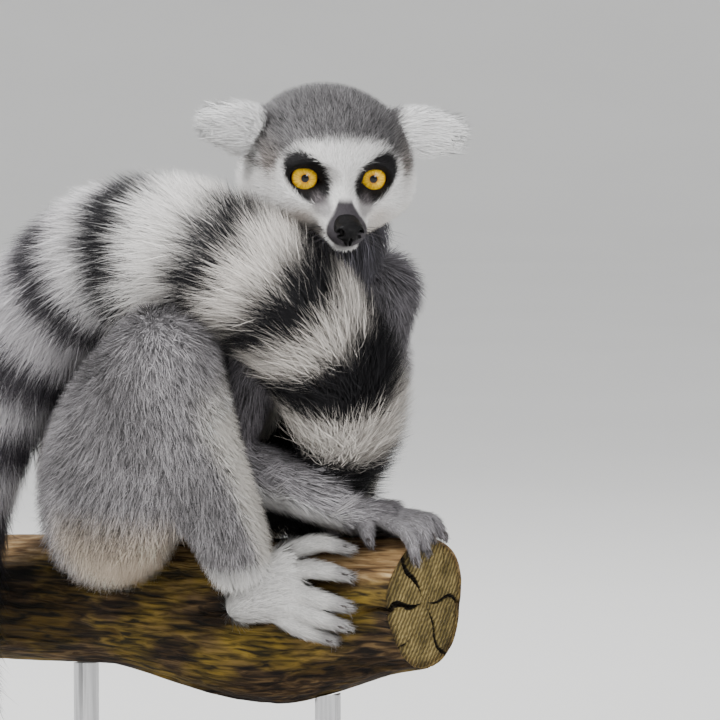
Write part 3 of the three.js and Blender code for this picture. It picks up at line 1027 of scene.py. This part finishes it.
TUFT_LOOPS = np.array((0, 1, 2, 0, 3, 4, 1, 1, 4, 5, 2, 2, 5, 3, 0, 3, 6, 4, 4, 6, 5, 5, 6, 3))
TUFT_SIZES = (3, 4, 4, 4, 3, 3, 3)
HAIR_LOOPS = np.array((0, 1, 2, 0, 3, 1, 1, 3, 2, 2, 3, 0))
HAIR_SIZES = (3, 3, 3, 3)
HAIR_POINTS = [0, 1, 2, 6]
ON_PATCH = np.array(((0, 0), (1, 0), (0.5, 0.15), (0, 0.5), (1, 0.5), (0.5, 0.65), (0.5, 1)))
ROOT_DEPTH, BEND_AT, BEND_HEIGHT, BEND_PULL = 0.6, 0.45, 0.62, 0.35
LENGTHS, HEIGHTS, WIDTHS = (0.72, 1.12), (0.6, 1.06), (0.7, 1.3)  # least and most shares
ROOT_WIDTH, THICKNESS = 0.8, 0.3
# Painted shade: each tuft is darkened towards its root, deep in the coat, and lightest at its tip.
TUFT_PAINTED_SHADES = np.array([0.72] * 3 + [0.95] * 3 + [1.05])  # at the root, at the bend and at the tip


def shape_tufts(roots):
    """Closed, flattened three-sided spikes, bent over in the middle: their points, colours and normals."""
    count = len(roots.place)
    normal = roots.normal
    stray, clump = roots.of_coat("stray"), roots.of_coat("clump")
    lie = unit(level(roots.lie + random.normal(0, 1, (count, 3)) * stray[:, None], normal))
    across = np.cross(lie, normal)
    length = roots.size * random.uniform(*LENGTHS, count)
    height = roots.height * random.uniform(*HEIGHTS, count)
    reach = np.sqrt(np.maximum(length**2 - height**2, (0.3 * length) ** 2))
    pull = level(clumped(roots.place, roots.of_coat("clump_size")) * clump[:, None], normal)
    over, above = lie * reach[:, None], normal * height[:, None]
    root = roots.place - ROOT_DEPTH * normal
    middle = roots.place + over * BEND_AT + above * BEND_HEIGHT + pull * BEND_PULL
    tip = roots.place + over + above + pull
    width = roots.of_coat("width") * random.uniform(*WIDTHS, count)
    side, thick = across * (width / 2)[:, None], normal * (width * THICKNESS)[:, None]
    low = [root + corner * ROOT_WIDTH for corner in (-side, side, thick)]
    bent = [middle + corner for corner in (-side, side, thick)]
    points = np.stack((*low, *bent, tip), axis=1)
    # Each tuft's own random tone, times painted shade that darkens it towards its root.
    shade = random.normal(1, 0.08, (count, 1)) * TUFT_PAINTED_SHADES
    colours = np.clip(roots.colour[:, None, :] * shade[:, :, None], 0, 0.95)
    outward = (-0.32 * across, 0.32 * across, 0 * across)
    facing = normal[:, None, :] + np.stack((*outward, *outward, 0.25 * lie), axis=1)
    return points, colours, unit(facing)


def coat_piece(name, points, colours, normals, on_map, material, slot, straight):
    if straight:
        points, colours, normals = points[:, HAIR_POINTS], colours[:, HAIR_POINTS], normals[:, HAIR_POINTS]
    loops, sizes = (HAIR_LOOPS, HAIR_SIZES) if straight else (TUFT_LOOPS, TUFT_SIZES)
    on_patch = ON_PATCH[HAIR_POINTS] if straight else ON_PATCH
    count, corners = points.shape[:2]
    loops = (loops + corners * np.arange(count)[:, None]).ravel()
    piece = mesh_object(name, points.reshape(-1, 3), loops, np.tile(sizes, count), material, slot)
    set_attribute(piece, "tint", colours.reshape(-1, 3))
    places = (on_map[:, None, :] * (1 - PATCH) + on_patch * PATCH).reshape(-1, 2)
    layer = piece.data.uv_layers.new(name="OFBake")
    layer.data.foreach_set("uv", places[loops].astype(np.float32).ravel())
    piece.data.normals_split_custom_set_from_vertices(normals.reshape(-1, 3))


def fur_material():
    nodes = Nodes("fur", 0.6, 0.2)
    nodes.bump(nodes.noise(2600, 3), 0.2, 0.0002)
    mottled = (0.3, grey(0.86)), (0.7, grey(1.06))
    return nodes.colour(nodes.shade(nodes.attribute("tint"), nodes.noise(700, 3), *mottled, amount=0.7))


TICKED = ("thigh", "shank", "trunk", "neck", "skull", "forearm", "upper_arm", "palm", "finger")
DARK_BELOW, PALE_ABOVE, PALEST_TICKED = 0.34, 0.72, 0.52


def ticked(roots, tint):
    """Agouti fur: some tufts are dark and some are pale, except in white fur."""
    draw = random.random(len(tint))
    patches = 1 + 0.2 * value_noise(roots.place, 5, 11) + 0.16 * value_noise(roots.place, 16, 12)
    kinds = np.array([form.name.startswith(TICKED) for form in roots.forms])[roots.nearest]
    agouti = kinds & (tint.max(axis=1) < PALEST_TICKED)
    tint = np.where(agouti[:, None], tint * patches[:, None], tint)
    tint = np.where((agouti & (draw < DARK_BELOW))[:, None], tint * 0.33, tint)
    return np.where((agouti & (draw > PALE_ABOVE))[:, None], np.minimum(tint * 1.8, 0.8), tint)


def grow(shell_mesh, forms, kind, families, slot, fur, adjust=None):
    """One layer of a shell's coat, `locks` bent over or `hairs` straight, in pieces named by family."""
    most = max(getattr(coat_of(form), kind) for form in forms)
    roots = Roots(forms, *scatter_roots(*shell_mesh, most))
    roots.keep(random.random(len(roots.place)) * most < roots.of_coat(kind))
    roots.settle()
    if adjust:
        adjust(roots)
    roots.colour = ticked(roots, roots.tint(LOOK_AHEAD))
    points, colours, normals = shape_tufts(roots)
    on_map, straight = roots.on_map(), kind == "hairs"
    for name, members in families.items():
        chosen = np.array([form.name.startswith(members) for form in forms])[roots.nearest]
        order = np.flatnonzero(chosen)
        if not len(order):
            continue
        order = order[np.argsort(roots.nearest[order] * 1e4 + roots.own(1)[order], kind="stable")]
        triangles = len(order) * (4 if straight else 10)
        shares = np.array_split(order, math.ceil(triangles / MOST_TRIANGLES))
        for k, share in enumerate(shares):
            own_name = f"coat_{name}_{kind}" + (f"_{k + 1}" if len(shares) > 1 else "")
            own = (points[share], colours[share], normals[share], on_map[share])
            coat_piece(own_name, *own, fur, slot, straight)


def head_hair(roots):
    """Hair is shortest by the nose and round the eyes, and longest on the cheeks, nape and ears' tips."""
    local = to_head(roots.place)
    back, across = norms(local - NOSE_TIP), np.abs(local[:, 1])
    size, height = np.interp(back, FROM_NOSE, FACE_LENGTHS), np.interp(back, FROM_NOSE, FACE_HEIGHTS)
    ear, tip = rise(across, 34, 40), rise(across, 42, 50)
    size = size + (10 + 3 * tip - size) * ear
    height = height + (4.2 + 1.8 * tip - height) * ear
    share = np.interp(back, (0, 12), (0.4, 1.0))
    for side in (-1, 1):
        v, far = from_eye(local, side)
        ring = rise(far, 9.5, 16)
        size, height = size * (0.35 + 0.65 * ring), height * (0.25 + 0.75 * ring)
        share = share * ((far > LID_RADIUS + 0.5) | ((v[:, 0] < 0) & (far > 9)))
    share = share * (norms(local - NOSE_PAD) > BARE_REACH)
    roots.size, roots.height = size, height
    roots.keep(~under(roots.place, [neck], 2) & (random.random(len(share)) < share))


def under(place, forms, margin):
    """Which places lie under the skin of other forms."""
    hidden = np.zeros(len(place), bool)
    for form in forms:
        hidden |= form.read(place, reach=3)[0] < -margin
    return hidden


def body_hair(roots):
    """Longer hair below the haunches and the tail and at its tip, and none inside head, palms or soles."""
    x, _, z = roots.place.T
    names = np.array([form.name for form in roots.forms])[roots.nearest]
    fringe = np.char.startswith(names, "thigh") * rise(FRINGE_TOP - z, 0, 25)
    tip = rise(TIP_REACH - norms(roots.place - TAIL[-1][:3]), 0, 20)
    hang = (names == "tail") * rise(x, 5, 20) * rise(-x, -65, -50) * rise(-roots.normal[:, 2], 0.2, 0.7)
    roots.size = roots.size * (1 + 1.0 * fringe + 0.2 * tip + 0.3 * hang)
    roots.height = roots.height * (1 + 0.5 * fringe + 0.2 * tip + 1.3 * hang)
    roots.keep(~under(roots.place, [skull, *end_forms("sole", "palm")], 0.5))


def make_coats(shells):
    body, head, *ends = shells
    fur = fur_material()
    torso = {"tail": ("tail",), "trunk": ("trunk", "neck")}
    grow(body, BODY_FORMS, "locks", torso, "coat_back", fur, body_hair)
    limbs = {}
    for side in ("right", "left"):
        limbs |= {f"{leg}_{side}": (f"{leg}_{side}",) for leg in ("thigh", "shank")}
        limbs |= {f"arm_{side}": (f"upper_arm_{side}", f"forearm_{side}")}
    grow(body, BODY_FORMS, "hairs", torso | limbs, "coat_leg", fur, body_hair)
    ears = {"ears": ("ear",)}
    grow(head, HEAD_FORMS, "locks", ears, "coat_white", fur, head_hair)
    face = {"head": ("skull", "cheek"), "face": ("muzzle", "jaw", "brow", "bridge")}
    grow(head, HEAD_FORMS, "hairs", face | ears, "coat_crown", fur, head_hair)
    for (name, forms), mesh in zip(LIMB_ENDS.items(), ends):
        grow(mesh, forms, "hairs", {name: ("sole", "toe", "palm", "finger")}, "coat_hand", fur)


# ---- Eyes, nose, nails and whiskers ----

CORNEA_RISE, CORNEA_ANGLE = 0.55, 0.95
PUPIL, PUPIL_BLUR = 0.135, 0.012
EYE_RINGS, EYE_SIDES = 56, 72


def make_eye(label, side):
    """An eyeball with a bulged cornea. `turned` is the angle from the gaze, and `spoke` spins round it."""
    gaze = unit(np.array(GAZE)) @ HEAD_AXES.T
    right = unit(np.cross(gaze, Z))
    above = np.cross(right, gaze)
    rings, sides = EYE_RINGS, EYE_SIDES
    theta = math.pi * (np.arange(rings) / (rings - 1)) ** 1.25
    phi = 2 * math.pi * np.arange(sides) / sides
    t = np.concatenate(([0], np.repeat(theta[1:-1], sides), [math.pi]))
    p = np.concatenate(([0], np.tile(phi, rings - 2), [0]))
    radius = EYE_RADIUS + CORNEA_RISE * np.clip(1 - (t / CORNEA_ANGLE) ** 2, 0, 1)
    around = np.sin(t)[:, None] * (np.cos(p)[:, None] * right + np.sin(p)[:, None] * above)
    centre = from_head((EYE_FORWARD, side * EYE_APART, EYE_UP))
    points = centre + radius[:, None] * (np.cos(t)[:, None] * gaze + around)
    j, k = np.arange(sides), np.roll(np.arange(sides), -1)
    front = np.stack((0 * j, 1 + j, 1 + k), axis=1)
    last = 1 + (rings - 3) * sides
    back = np.stack((0 * j + len(points) - 1, last + k, last + j), axis=1)
    faces = flattened(tube_quads(rings - 2, sides, 1), front, back)
    eye = mesh_object(f"eyeball_{label}", points, *faces, eye_material(), "eye")
    set_attribute(eye, "turned", np.degrees(t) / 90)
    set_attribute(eye, "spoke", np.stack((np.cos(p) * 2.2, np.sin(p) * 2.2, t * 0.4), axis=1))
    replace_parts(eye, f"eye_{label}")


def eye_material():
    """A black pupil, an amber iris with streaks, darker at both its edges, and a black rim."""
    nodes = Nodes("eye", 0.05, 0.12)
    nodes.shader.inputs["Coat Weight"].default_value = 0.35
    nodes.shader.inputs["Coat Roughness"].default_value = 0.02
    out = nodes.attribute("turned", "Fac")
    streaks = nodes.noise(5, 6, nodes.attribute("spoke", "Vector"))
    amber = nodes.tones(streaks, (0.3, 186, 132, 8), (0.52, 232, 184, 24), (0.75, 250, 216, 62))
    off_pupil = nodes.ramp(out, (0, NONE), (PUPIL - PUPIL_BLUR, NONE), (PUPIL + PUPIL_BLUR, FULL))
    iris = nodes.blend(grey(0.004), amber, off_pupil)
    edges = (PUPIL, (0.62, 0.45, 0.3)), (PUPIL + 0.1, FULL), (0.4, FULL), (0.5, (0.42, 0.3, 0.12))
    iris = nodes.shade(iris, out, *edges)
    rim = nodes.ramp(out, (0.47, NONE), (0.52, FULL))
    return nodes.colour(nodes.blend(iris, (0.006, 0.004, 0.004), rim))


NOSE = [(25, 0, -12, 5.8, 4.4), (31, 0, -12.5, 6.7, 4.5), (34.4, 0, -13.4, 6.7, 4.6)]
PHILTRUM = [(33, 0, -15, 2.6, 2.6), (32.4, 0, -18.6, 2.0, 2.2)]
# Each nostril's round hole and its slit: their middle on the left, half sizes, slope of the field and blend
NOSTRIL = [
    ((36.5, 4.4, -13.3), (3.4, 1.7, 1.9), 1.6, 0.7),
    ((34.5, 6.2, -14.6), (3.4, 2.4, 0.9), 1.0, 0.5),
]
NOSE_PITCH = 0.4
GROOVE_TOP, GROOVE_RADIUS, GROOVE_FROM = -15.5, 0.35, 30


def carve_nose(points, field):
    """Comma-shaped nostrils, open to the sides, and the groove below the nose."""
    local = to_head(points)
    for side in (-1, 1):
        for at, half, slope, reach in NOSTRIL:
            hollow = norms((local - np.array(at) * (1, side, 1)) / half) - 1
            field = -smooth_union(-field, hollow * slope, reach)
    x, y, z = local.T
    groove = np.hypot(y, np.maximum(z - GROOVE_TOP, 0)) - GROOVE_RADIUS
    return -smooth_union(-field, np.where(x > GROOVE_FROM, groove, FAR), 0.6)


def make_nose():
    forms = [head_loft("nose", NOSE, 0, (0.5, 0.5), 1.5), head_loft("philtrum", PHILTRUM, 0, blend=1.5)]
    points, faces = shell(forms, NOSE_PITCH, carve_nose)
    nodes = Nodes("nose", 0.42, 0.1)
    grain = nodes.add("TexVoronoi")
    grain.inputs["Scale"].default_value = 1500
    nodes.join(nodes.place(), grain.inputs["Vector"])
    nodes.bump(grain.outputs["Distance"], 0.5, 0.0003)
    leather = nodes.colour(nodes.tones(nodes.noise(300), (0.3, 6, 6, 7), (0.7, 15, 14, 15)))
    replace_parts(mesh_object("nose_pad", points, *flattened(faces), leather, "nose_leather"), "nose")


ROD_UP = unit(np.array((0.3, 0.2, 1.0)))


def rods(paths, radii, sides):
    """Tapered rods round lines of points: their points, and their faces as loops and sizes."""
    points, tubes, ends = [], [], []
    turn = 2 * math.pi * np.arange(sides) / sides
    for path, sizes in zip(paths, radii):
        along = unit(np.gradient(path, axis=0))
        side = unit(np.cross(along, ROD_UP))
        above = np.cross(side, along)
        start = len(points) * sides
        for middle, u, v, (width, height) in zip(path, side, above, sizes):
            points.append(middle + np.outer(np.cos(turn) * width, u) + np.outer(np.sin(turn) * height, v))
        tubes.append(tube_quads(len(path), sides, start))
        last = len(points) * sides - 1
        ends += [start + np.arange(sides), last - np.arange(sides)]
    return np.vstack(points), *flattened(*tubes, np.array(ends))


NAIL_RADII = [(1.0, 0.6), (1.5, 0.8), (1.35, 0.7), (0.8, 0.5), (0.15, 0.12)]


def nail_path(form):
    """A curved line over the end of a digit, away from the branch."""
    ahead, end, size = form.along[-1], form.centre[-1], form.half[-1].min()
    out = (end - (0, 0, branch_z(end[0]))) * (0, 1, 1)
    out = unit(out - (out @ ahead) * ahead)
    base = end + out * size * 0.55
    steps = ((-1.0, 0.1), (1.0, 0.35), (size * 0.9, 0.1), (size + 1.6, -0.9), (size + 2.6, -1.8))
    return np.array([base + ahead * x + out * y for x, y in steps])


def make_nails():
    """A narrow, curved, pointed nail at the end of each digit."""
    paths = [nail_path(form) for form in end_forms("toe", "finger")]
    horn = speckled("nail", 0.35, 0.5, 500, (38, 33, 33), (70, 62, 60), [(1800, 0.2, 0.0002)])
    mesh_object("nails", *rods(paths, [NAIL_RADII] * len(paths), 8), horn, "nose_leather")


WHISKERS, WHISKER_ROWS, WHISKER_STEPS, WHISKER_RADIUS = 8, 3, 6, 0.12


def make_whiskers():
    """Three rows of long hairs on each side of the muzzle, swept back and hanging a little."""
    paths = []
    steps = np.linspace(0, 1, WHISKER_STEPS)
    for side in (-1, 1):
        for k in range(WHISKERS):
            column, row = divmod(k, WHISKER_ROWS)
            root = np.array((26 - 3.2 * column, side * (7.5 + 1.1 * column), -15.5 - 2.1 * row))
            ahead = unit(np.array((0.25 - 0.22 * column, side * 1.0, -0.12 - 0.16 * row)))
            length = 15 + 3 * column + random.uniform(-3, 3)
            bend = np.array((-1.5, 0, -random.uniform(2, 5)))
            paths.append(from_head(root + np.outer(steps, ahead * length) + np.outer(steps**2, bend)))
    radii = [(WHISKER_RADIUS * (1 - 0.85 * s),) * 2 for s in steps]
    black = speckled("whisker", 0.4, 0.4, 200, (28, 26, 28), (60, 56, 58))
    mesh_object("whiskers", *rods(paths, [radii] * len(paths), 4), black, "coat_muzzle")


# ---- Branch and stand ----

SWELLING_AT, SWELLING_REACH, SWELLING_DEPTH = 30, 66, 21
BARK_ROWS, BARK_SIDES, END_RINGS = 170, 220, 30
# Cracks of the ends: the turn from +Y through the underside, the reach inward from the rim, and the width
CRACKS = [(-2.21, 1.0, 0.9), (0.03, 1.0, 0.55), (1.02, 1.0, 0.6)]
CRACKS += [(3.1, 1.0, 0.9), (2.3, 0.6, 0.3), (-0.9, 0.55, 0.3)]
SIDE_CRACK_TURN, SIDE_CRACK_FROM, SIDE_CRACK_WIDTH, SIDE_CRACK_DEPTH = 3.1, 86, 0.9, 4.0


def bulge(x):
    return np.exp(-(((x - SWELLING_AT) / SWELLING_REACH) ** 2))


def branch_lump(angle, x):
    ridges = 0.03 * np.cos(3 * angle + 0.02 * x) + 0.02 * np.cos(5 * angle - 1 + 0.03 * x)
    swelling = np.maximum(0, bulge(x) - bulge(BRANCH_SAWN)) * np.maximum(0, np.sin(angle)) ** 2
    return 1 + ridges + swelling * SWELLING_DEPTH / BRANCH_RADIUS


def value_noise(points, scale, seed):
    """Smooth repeatable noise from -1 to 1, as a sum of waves in seeded directions."""
    waves = np.random.default_rng(seed)
    total = np.zeros(len(points))
    for octave in range(4):
        for _ in range(5):
            direction = waves.normal(0, 1, 3) * 2**octave / scale
            total += np.sin(points @ direction + waves.uniform(0, 6.28)) / 2**octave
    return total / 4


def branch_point(x, angle, inward, rough):
    """A point of the branch: `inward` is 1 on its bark and 0 on its axis."""
    reach = BRANCH_RADIUS * branch_lump(angle, x) * inward + rough
    return np.stack((x, reach * np.cos(angle), branch_z(x) - reach * np.sin(angle)), axis=-1)


def bark_relief(x, angle):
    """Ridges that run along the bark, worn smooth on top: the height, and how worn and furrowed it is."""
    unrolled = np.stack((x * 0.22, 30 * np.cos(angle), 30 * np.sin(angle)), axis=1)
    plates = value_noise(unrolled, 9, 3)
    fine = value_noise(unrolled * (0.6, 1, 1), 2.6, 4)
    bare = 0.35 * rise(x, 60, 100) + 0.22 * value_noise(unrolled, 14, 9)
    worn = rise(-np.sin(angle) + bare, 0.45, 0.9)
    edge = np.minimum(rise(BRANCH_SAWN - x, 0, 3), rise(x - BRANCH_REAR, 0, 3))
    furrow = -1.6 * rise(plates, 0.05, 0.5) + 0.55 * fine
    height = (furrow * (1 - 0.85 * worn) + 0.2 * fine * worn - 0.2) * (0.35 + 0.65 * edge) - 0.6
    off = (angle - SIDE_CRACK_TURN - 0.04 * np.sin(x * 0.3)) * BRANCH_RADIUS
    crack = rise(x, SIDE_CRACK_FROM, BRANCH_SAWN) * np.exp(-((off / SIDE_CRACK_WIDTH) ** 2))
    return height - SIDE_CRACK_DEPTH * crack, worn, furrow


def crack_depth(angle, inward, outward):
    """How deep the cracks of an end are on one of its rings."""
    deep = np.zeros(len(angle))
    for turn, reach, width in CRACKS:
        bend = 0.10 * np.sin(inward * 7 + turn * 3)
        away = (angle - turn * outward - bend + math.pi) % (2 * math.pi) - math.pi
        off = np.abs(away) * inward * BRANCH_RADIUS
        gap = width * 1.7 * rise(inward, 1 - reach - 0.05, 1 - reach + 0.5)
        deep = np.maximum(deep, np.clip(1 - off / np.maximum(gap, 0.02), 0, 1) * gap * 3.5)
    return deep


def end_ring(x, angle, inward, outward, rough):
    """One ring of an end, slightly domed and marked by the saw, with its shades for the material."""
    place = branch_point(np.full(len(angle), float(x)), angle, inward, rough * inward)
    deep = crack_depth(angle, inward, outward)
    saw = 0.12 * np.sin(place[:, 1] * 1.9 + place[:, 2] * 1.1) + 0.10 * value_noise(place, 5, 6)
    domed = -0.8 * inward**6
    place[:, 0] += outward * (saw + domed - deep - 0.3)
    ones = np.ones(len(angle))
    return place, np.stack((inward * ones, np.clip(deep / 2, 0, 1), ones), axis=1)


def make_branch():
    """Bark all round, with a cracked sawn end and a like one at the rear."""
    rows, sides = BARK_ROWS, BARK_SIDES
    angle = 2 * math.pi * np.arange(sides) / sides
    xx = np.repeat(np.linspace(BRANCH_REAR, BRANCH_SAWN, rows), sides)
    aa = np.tile(angle, rows)
    rough, worn, furrow = bark_relief(xx, aa)
    points = [branch_point(xx, aa, 1, rough)]
    shades = [np.stack((worn, np.clip(0.5 - furrow / 4, 0, 1), 0 * xx), axis=1)]
    faces = [tube_quads(rows, sides)]
    count = rows * sides
    for end, last, outward in ((BRANCH_SAWN, count - sides, 1), (BRANCH_REAR, 0, -1)):
        previous = last
        for inward in np.linspace(1, 0.02, END_RINGS)[1:]:
            place, shade = end_ring(end, angle, inward, outward, rough[last : last + sides])
            points.append(place)
            shades.append(shade)
            faces.append(ring_quads(previous, count, sides)[:, ::outward])
            previous, count = count, count + sides
        points.append(place.mean(axis=0)[None])
        shades.append(shade[:1])
        ring = previous + np.arange(sides)
        faces.append(np.stack((ring, np.full(sides, count), np.roll(ring, -1)), axis=1)[:, ::outward])
        count += 1
    bark = mesh_object("bark", np.vstack(points), *flattened(*faces), wood_material(), "wood_branch")
    set_attribute(bark, "wood", np.vstack(shades))
    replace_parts(bark, "branch")


def bark_tone(nodes, grain, streaks):
    """Dark furrowed bark with patches of moss."""
    bark = nodes.tones(grain, (0.36, 20, 15, 10), (0.5, 58, 44, 28), (0.66, 112, 90, 58))
    bark = nodes.shade(bark, streaks, (0.36, (0.3, 0.27, 0.24)), (0.62, FULL), amount=0.9)
    patches = nodes.noise(42, 6, nodes.place((0.5, 1, 1)))
    moss = nodes.tones(grain, (0.38, 40, 34, 12), (0.62, 138, 114, 42))
    return nodes.blend(bark, moss, nodes.ramp(patches, (0.45, NONE), (0.6, grey(0.85))))


def worn_tone(nodes, grain, streaks):
    """Tan wood, where the top is worn."""
    top = nodes.tones(grain, (0.34, 92, 68, 42), (0.52, 152, 122, 82), (0.68, 190, 164, 122))
    return nodes.shade(top, streaks, (0.35, (0.5, 0.45, 0.4)), (0.6, FULL), amount=0.8)


def cut_tone(nodes, inward, cracked, saw):
    """A sawn end, with saw marks, faint rings, stains, a dark rim, and cracks darkened with painted shade."""
    middle = nodes.place(shift=(0, 0, -BRANCH_SAWN_Z * MM))
    rings = nodes.wave("RINGS", "X", middle, Scale=150, Distortion=5.0, Detail=4, Detail_Scale=1.5)
    cut = nodes.tones(saw, (0.1, 92, 78, 44), (0.4, 124, 108, 64), (0.9, 150, 132, 84))
    cut = nodes.shade(cut, rings, (0.2, (0.78, 0.76, 0.7)), (0.7, FULL), amount=0.5)
    cut = nodes.shade(cut, nodes.noise(85, 6), (0.36, (0.32, 0.31, 0.22)), (0.6, FULL), amount=0.85)
    cut = nodes.shade(cut, inward, (0.84, FULL), (0.98, (0.4, 0.34, 0.26)))
    # Painted shade: the cracks are darkened nearly to black.
    return nodes.shade(cut, cracked, (0.02, FULL), (0.4, (0.05, 0.04, 0.03)))


def wood_material():
    """The branch. Its shades say how worn and furrowed bark is, and how far out and cracked an end is."""
    nodes = Nodes("branch_wood", 0.85, 0.2)
    split = nodes.add("SeparateColor")
    nodes.join(nodes.attribute("wood"), split.inputs["Color"])
    worn, furrow, end = split.outputs
    grain = nodes.noise(420, 9, nodes.place((0.13, 1, 1)), 0.6)
    streaks = nodes.noise(110, 6, nodes.place((0.2, 1, 1)), 0.8)
    side = nodes.blend(bark_tone(nodes, grain, streaks), worn_tone(nodes, grain, streaks), worn)
    side = nodes.shade(side, furrow, (0.35, FULL), (0.85, (0.3, 0.27, 0.25)))
    slanted = nodes.place(turn=(math.radians(35), 0, 0))
    saw = nodes.wave("BANDS", "Y", slanted, Scale=130, Distortion=3.5, Detail=5, Detail_Scale=3.0)
    nodes.bump(nodes.blend(grain, saw, end), 1.0, 0.0014)
    return nodes.colour(nodes.blend(side, cut_tone(nodes, worn, furrow, saw), end))


def make_stand():
    nodes = Nodes("plinth_wood", 0.42, 0.4)
    grain = nodes.noise(60, 6, nodes.place((0.08, 1, 1)), 1.2)
    tone = nodes.tones(grain, (0.3, 44, 28, 18), (0.55, 78, 50, 32), (0.75, 98, 66, 42))
    nodes.bump(nodes.noise(500, 6, nodes.place((0.05, 1, 1))), 0.25, 0.0004)
    dress("stand_plinth", nodes.colour(tone))
    for name in ("stand_rod_front", "stand_rod_rear"):
        nodes = Nodes(name + "_steel", 0.32, 0.5)
        nodes.shader.inputs["Metallic"].default_value = 1
        brushed = nodes.noise(900, 4, nodes.place((1, 1, 0.03)))
        nodes.bump(brushed, 0.15, 0.0002)
        dress(name, nodes.colour(nodes.ramp(brushed, (0.3, (0.42, 0.42, 0.43)), (0.7, (0.6, 0.6, 0.61)))))


def dress(node, material):
    """Gives a carried-over solid its material."""
    for slot in bpy.data.objects[node].material_slots:
        slot.material = material


# ---- Camera, light and floor ----

CAMERA_TARGET = (80, 0, 260)
CAMERA_AZIMUTH, CAMERA_ELEVATION, CAMERA_DISTANCE = 35, 4, 2500
CAMERA_LENS, CAMERA_SENSOR = 275, 36
LIGHT_TARGET = (0, 0, 0.22)
# Each lamp's name, place and size in metres, and power in watts
LIGHTS = [
    ("key", (-0.7, -1.3, 1.9), 0.7, 64),
    ("fill", (1.6, -0.5, 1.0), 1.0, 17),
    ("catchlight", (1.62, -0.92, 0.64), 0.3, 6),
    ("rim", (-1.1, 0.9, 1.3), 0.7, 12),
]
SKY, SKY_STRENGTH = (0.80, 0.81, 0.83, 1), 1.2
STAGE_RADIUS, STAGE_BEND, STAGE_HEIGHT, STAGE_SIDES = 6000, 3500, 9000, 96


def place_in_scene(name, data, place, back):
    """A camera or lamp at a place in metres, that looks away from `back`."""
    thing = bpy.data.objects.new(name, data)
    bpy.context.scene.collection.objects.link(thing)
    thing.location = place
    thing.rotation_euler = back.to_track_quat("Z", "Y").to_euler()
    return thing


def make_camera():
    turn, lift = math.radians(CAMERA_AZIMUTH), math.radians(CAMERA_ELEVATION)
    back = Vector((math.sin(turn) * math.cos(lift), -math.cos(turn) * math.cos(lift), math.sin(lift)))
    lens = bpy.data.cameras.new("camera")
    lens.lens, lens.sensor_width = CAMERA_LENS, CAMERA_SENSOR
    place = Vector(CAMERA_TARGET) * MM + back * CAMERA_DISTANCE * MM
    bpy.context.scene.camera = place_in_scene("camera", lens, place, back)


def make_lights():
    for name, place, size, power in LIGHTS:
        light = bpy.data.lights.new(name, "AREA")
        light.shape, light.size, light.energy = "DISK", size, power
        place_in_scene(name, light, place, Vector(place) - Vector(LIGHT_TARGET))
    world = bpy.data.worlds.new("world")
    world.use_nodes = True
    sky = world.node_tree.nodes["Background"].inputs
    sky["Color"].default_value, sky["Strength"].default_value = SKY, SKY_STRENGTH
    bpy.context.scene.world = world


def make_stage():
    """A pale floor that bends up into a wall all round."""
    nodes = Nodes("floor", 0.9, 0.2)
    tone = nodes.ramp(nodes.noise(3, 2), (0.3, (0.83, 0.825, 0.81)), (0.7, (0.85, 0.845, 0.83)))
    bend = np.linspace(0, math.pi / 2, 13)
    rim = np.stack((STAGE_RADIUS + STAGE_BEND * np.sin(bend), STAGE_BEND * (1 - np.cos(bend))), axis=1)
    profile = np.vstack(((1, 0), rim, (STAGE_RADIUS + STAGE_BEND, STAGE_HEIGHT)))
    turn = np.arange(STAGE_SIDES) * 2 * math.pi / STAGE_SIDES
    ring = np.stack((np.cos(turn), np.sin(turn), np.ones(STAGE_SIDES)), axis=1)
    points = np.concatenate([ring * (r, r, z) for r, z in profile])
    faces = flattened(np.arange(STAGE_SIDES)[None], tube_quads(len(profile), STAGE_SIDES))
    mesh_object("floor", points, *faces, nodes.colour(tone), None)


make_camera()
make_stage()
make_lights()
make_stand()
make_branch()
for label, side in (("right", -1), ("left", 1)):
    make_eye(label, side)
make_nose()
make_nails()
make_whiskers()
make_coats(make_skin())


def corners(box):
    return [list(corner) for corner in box]
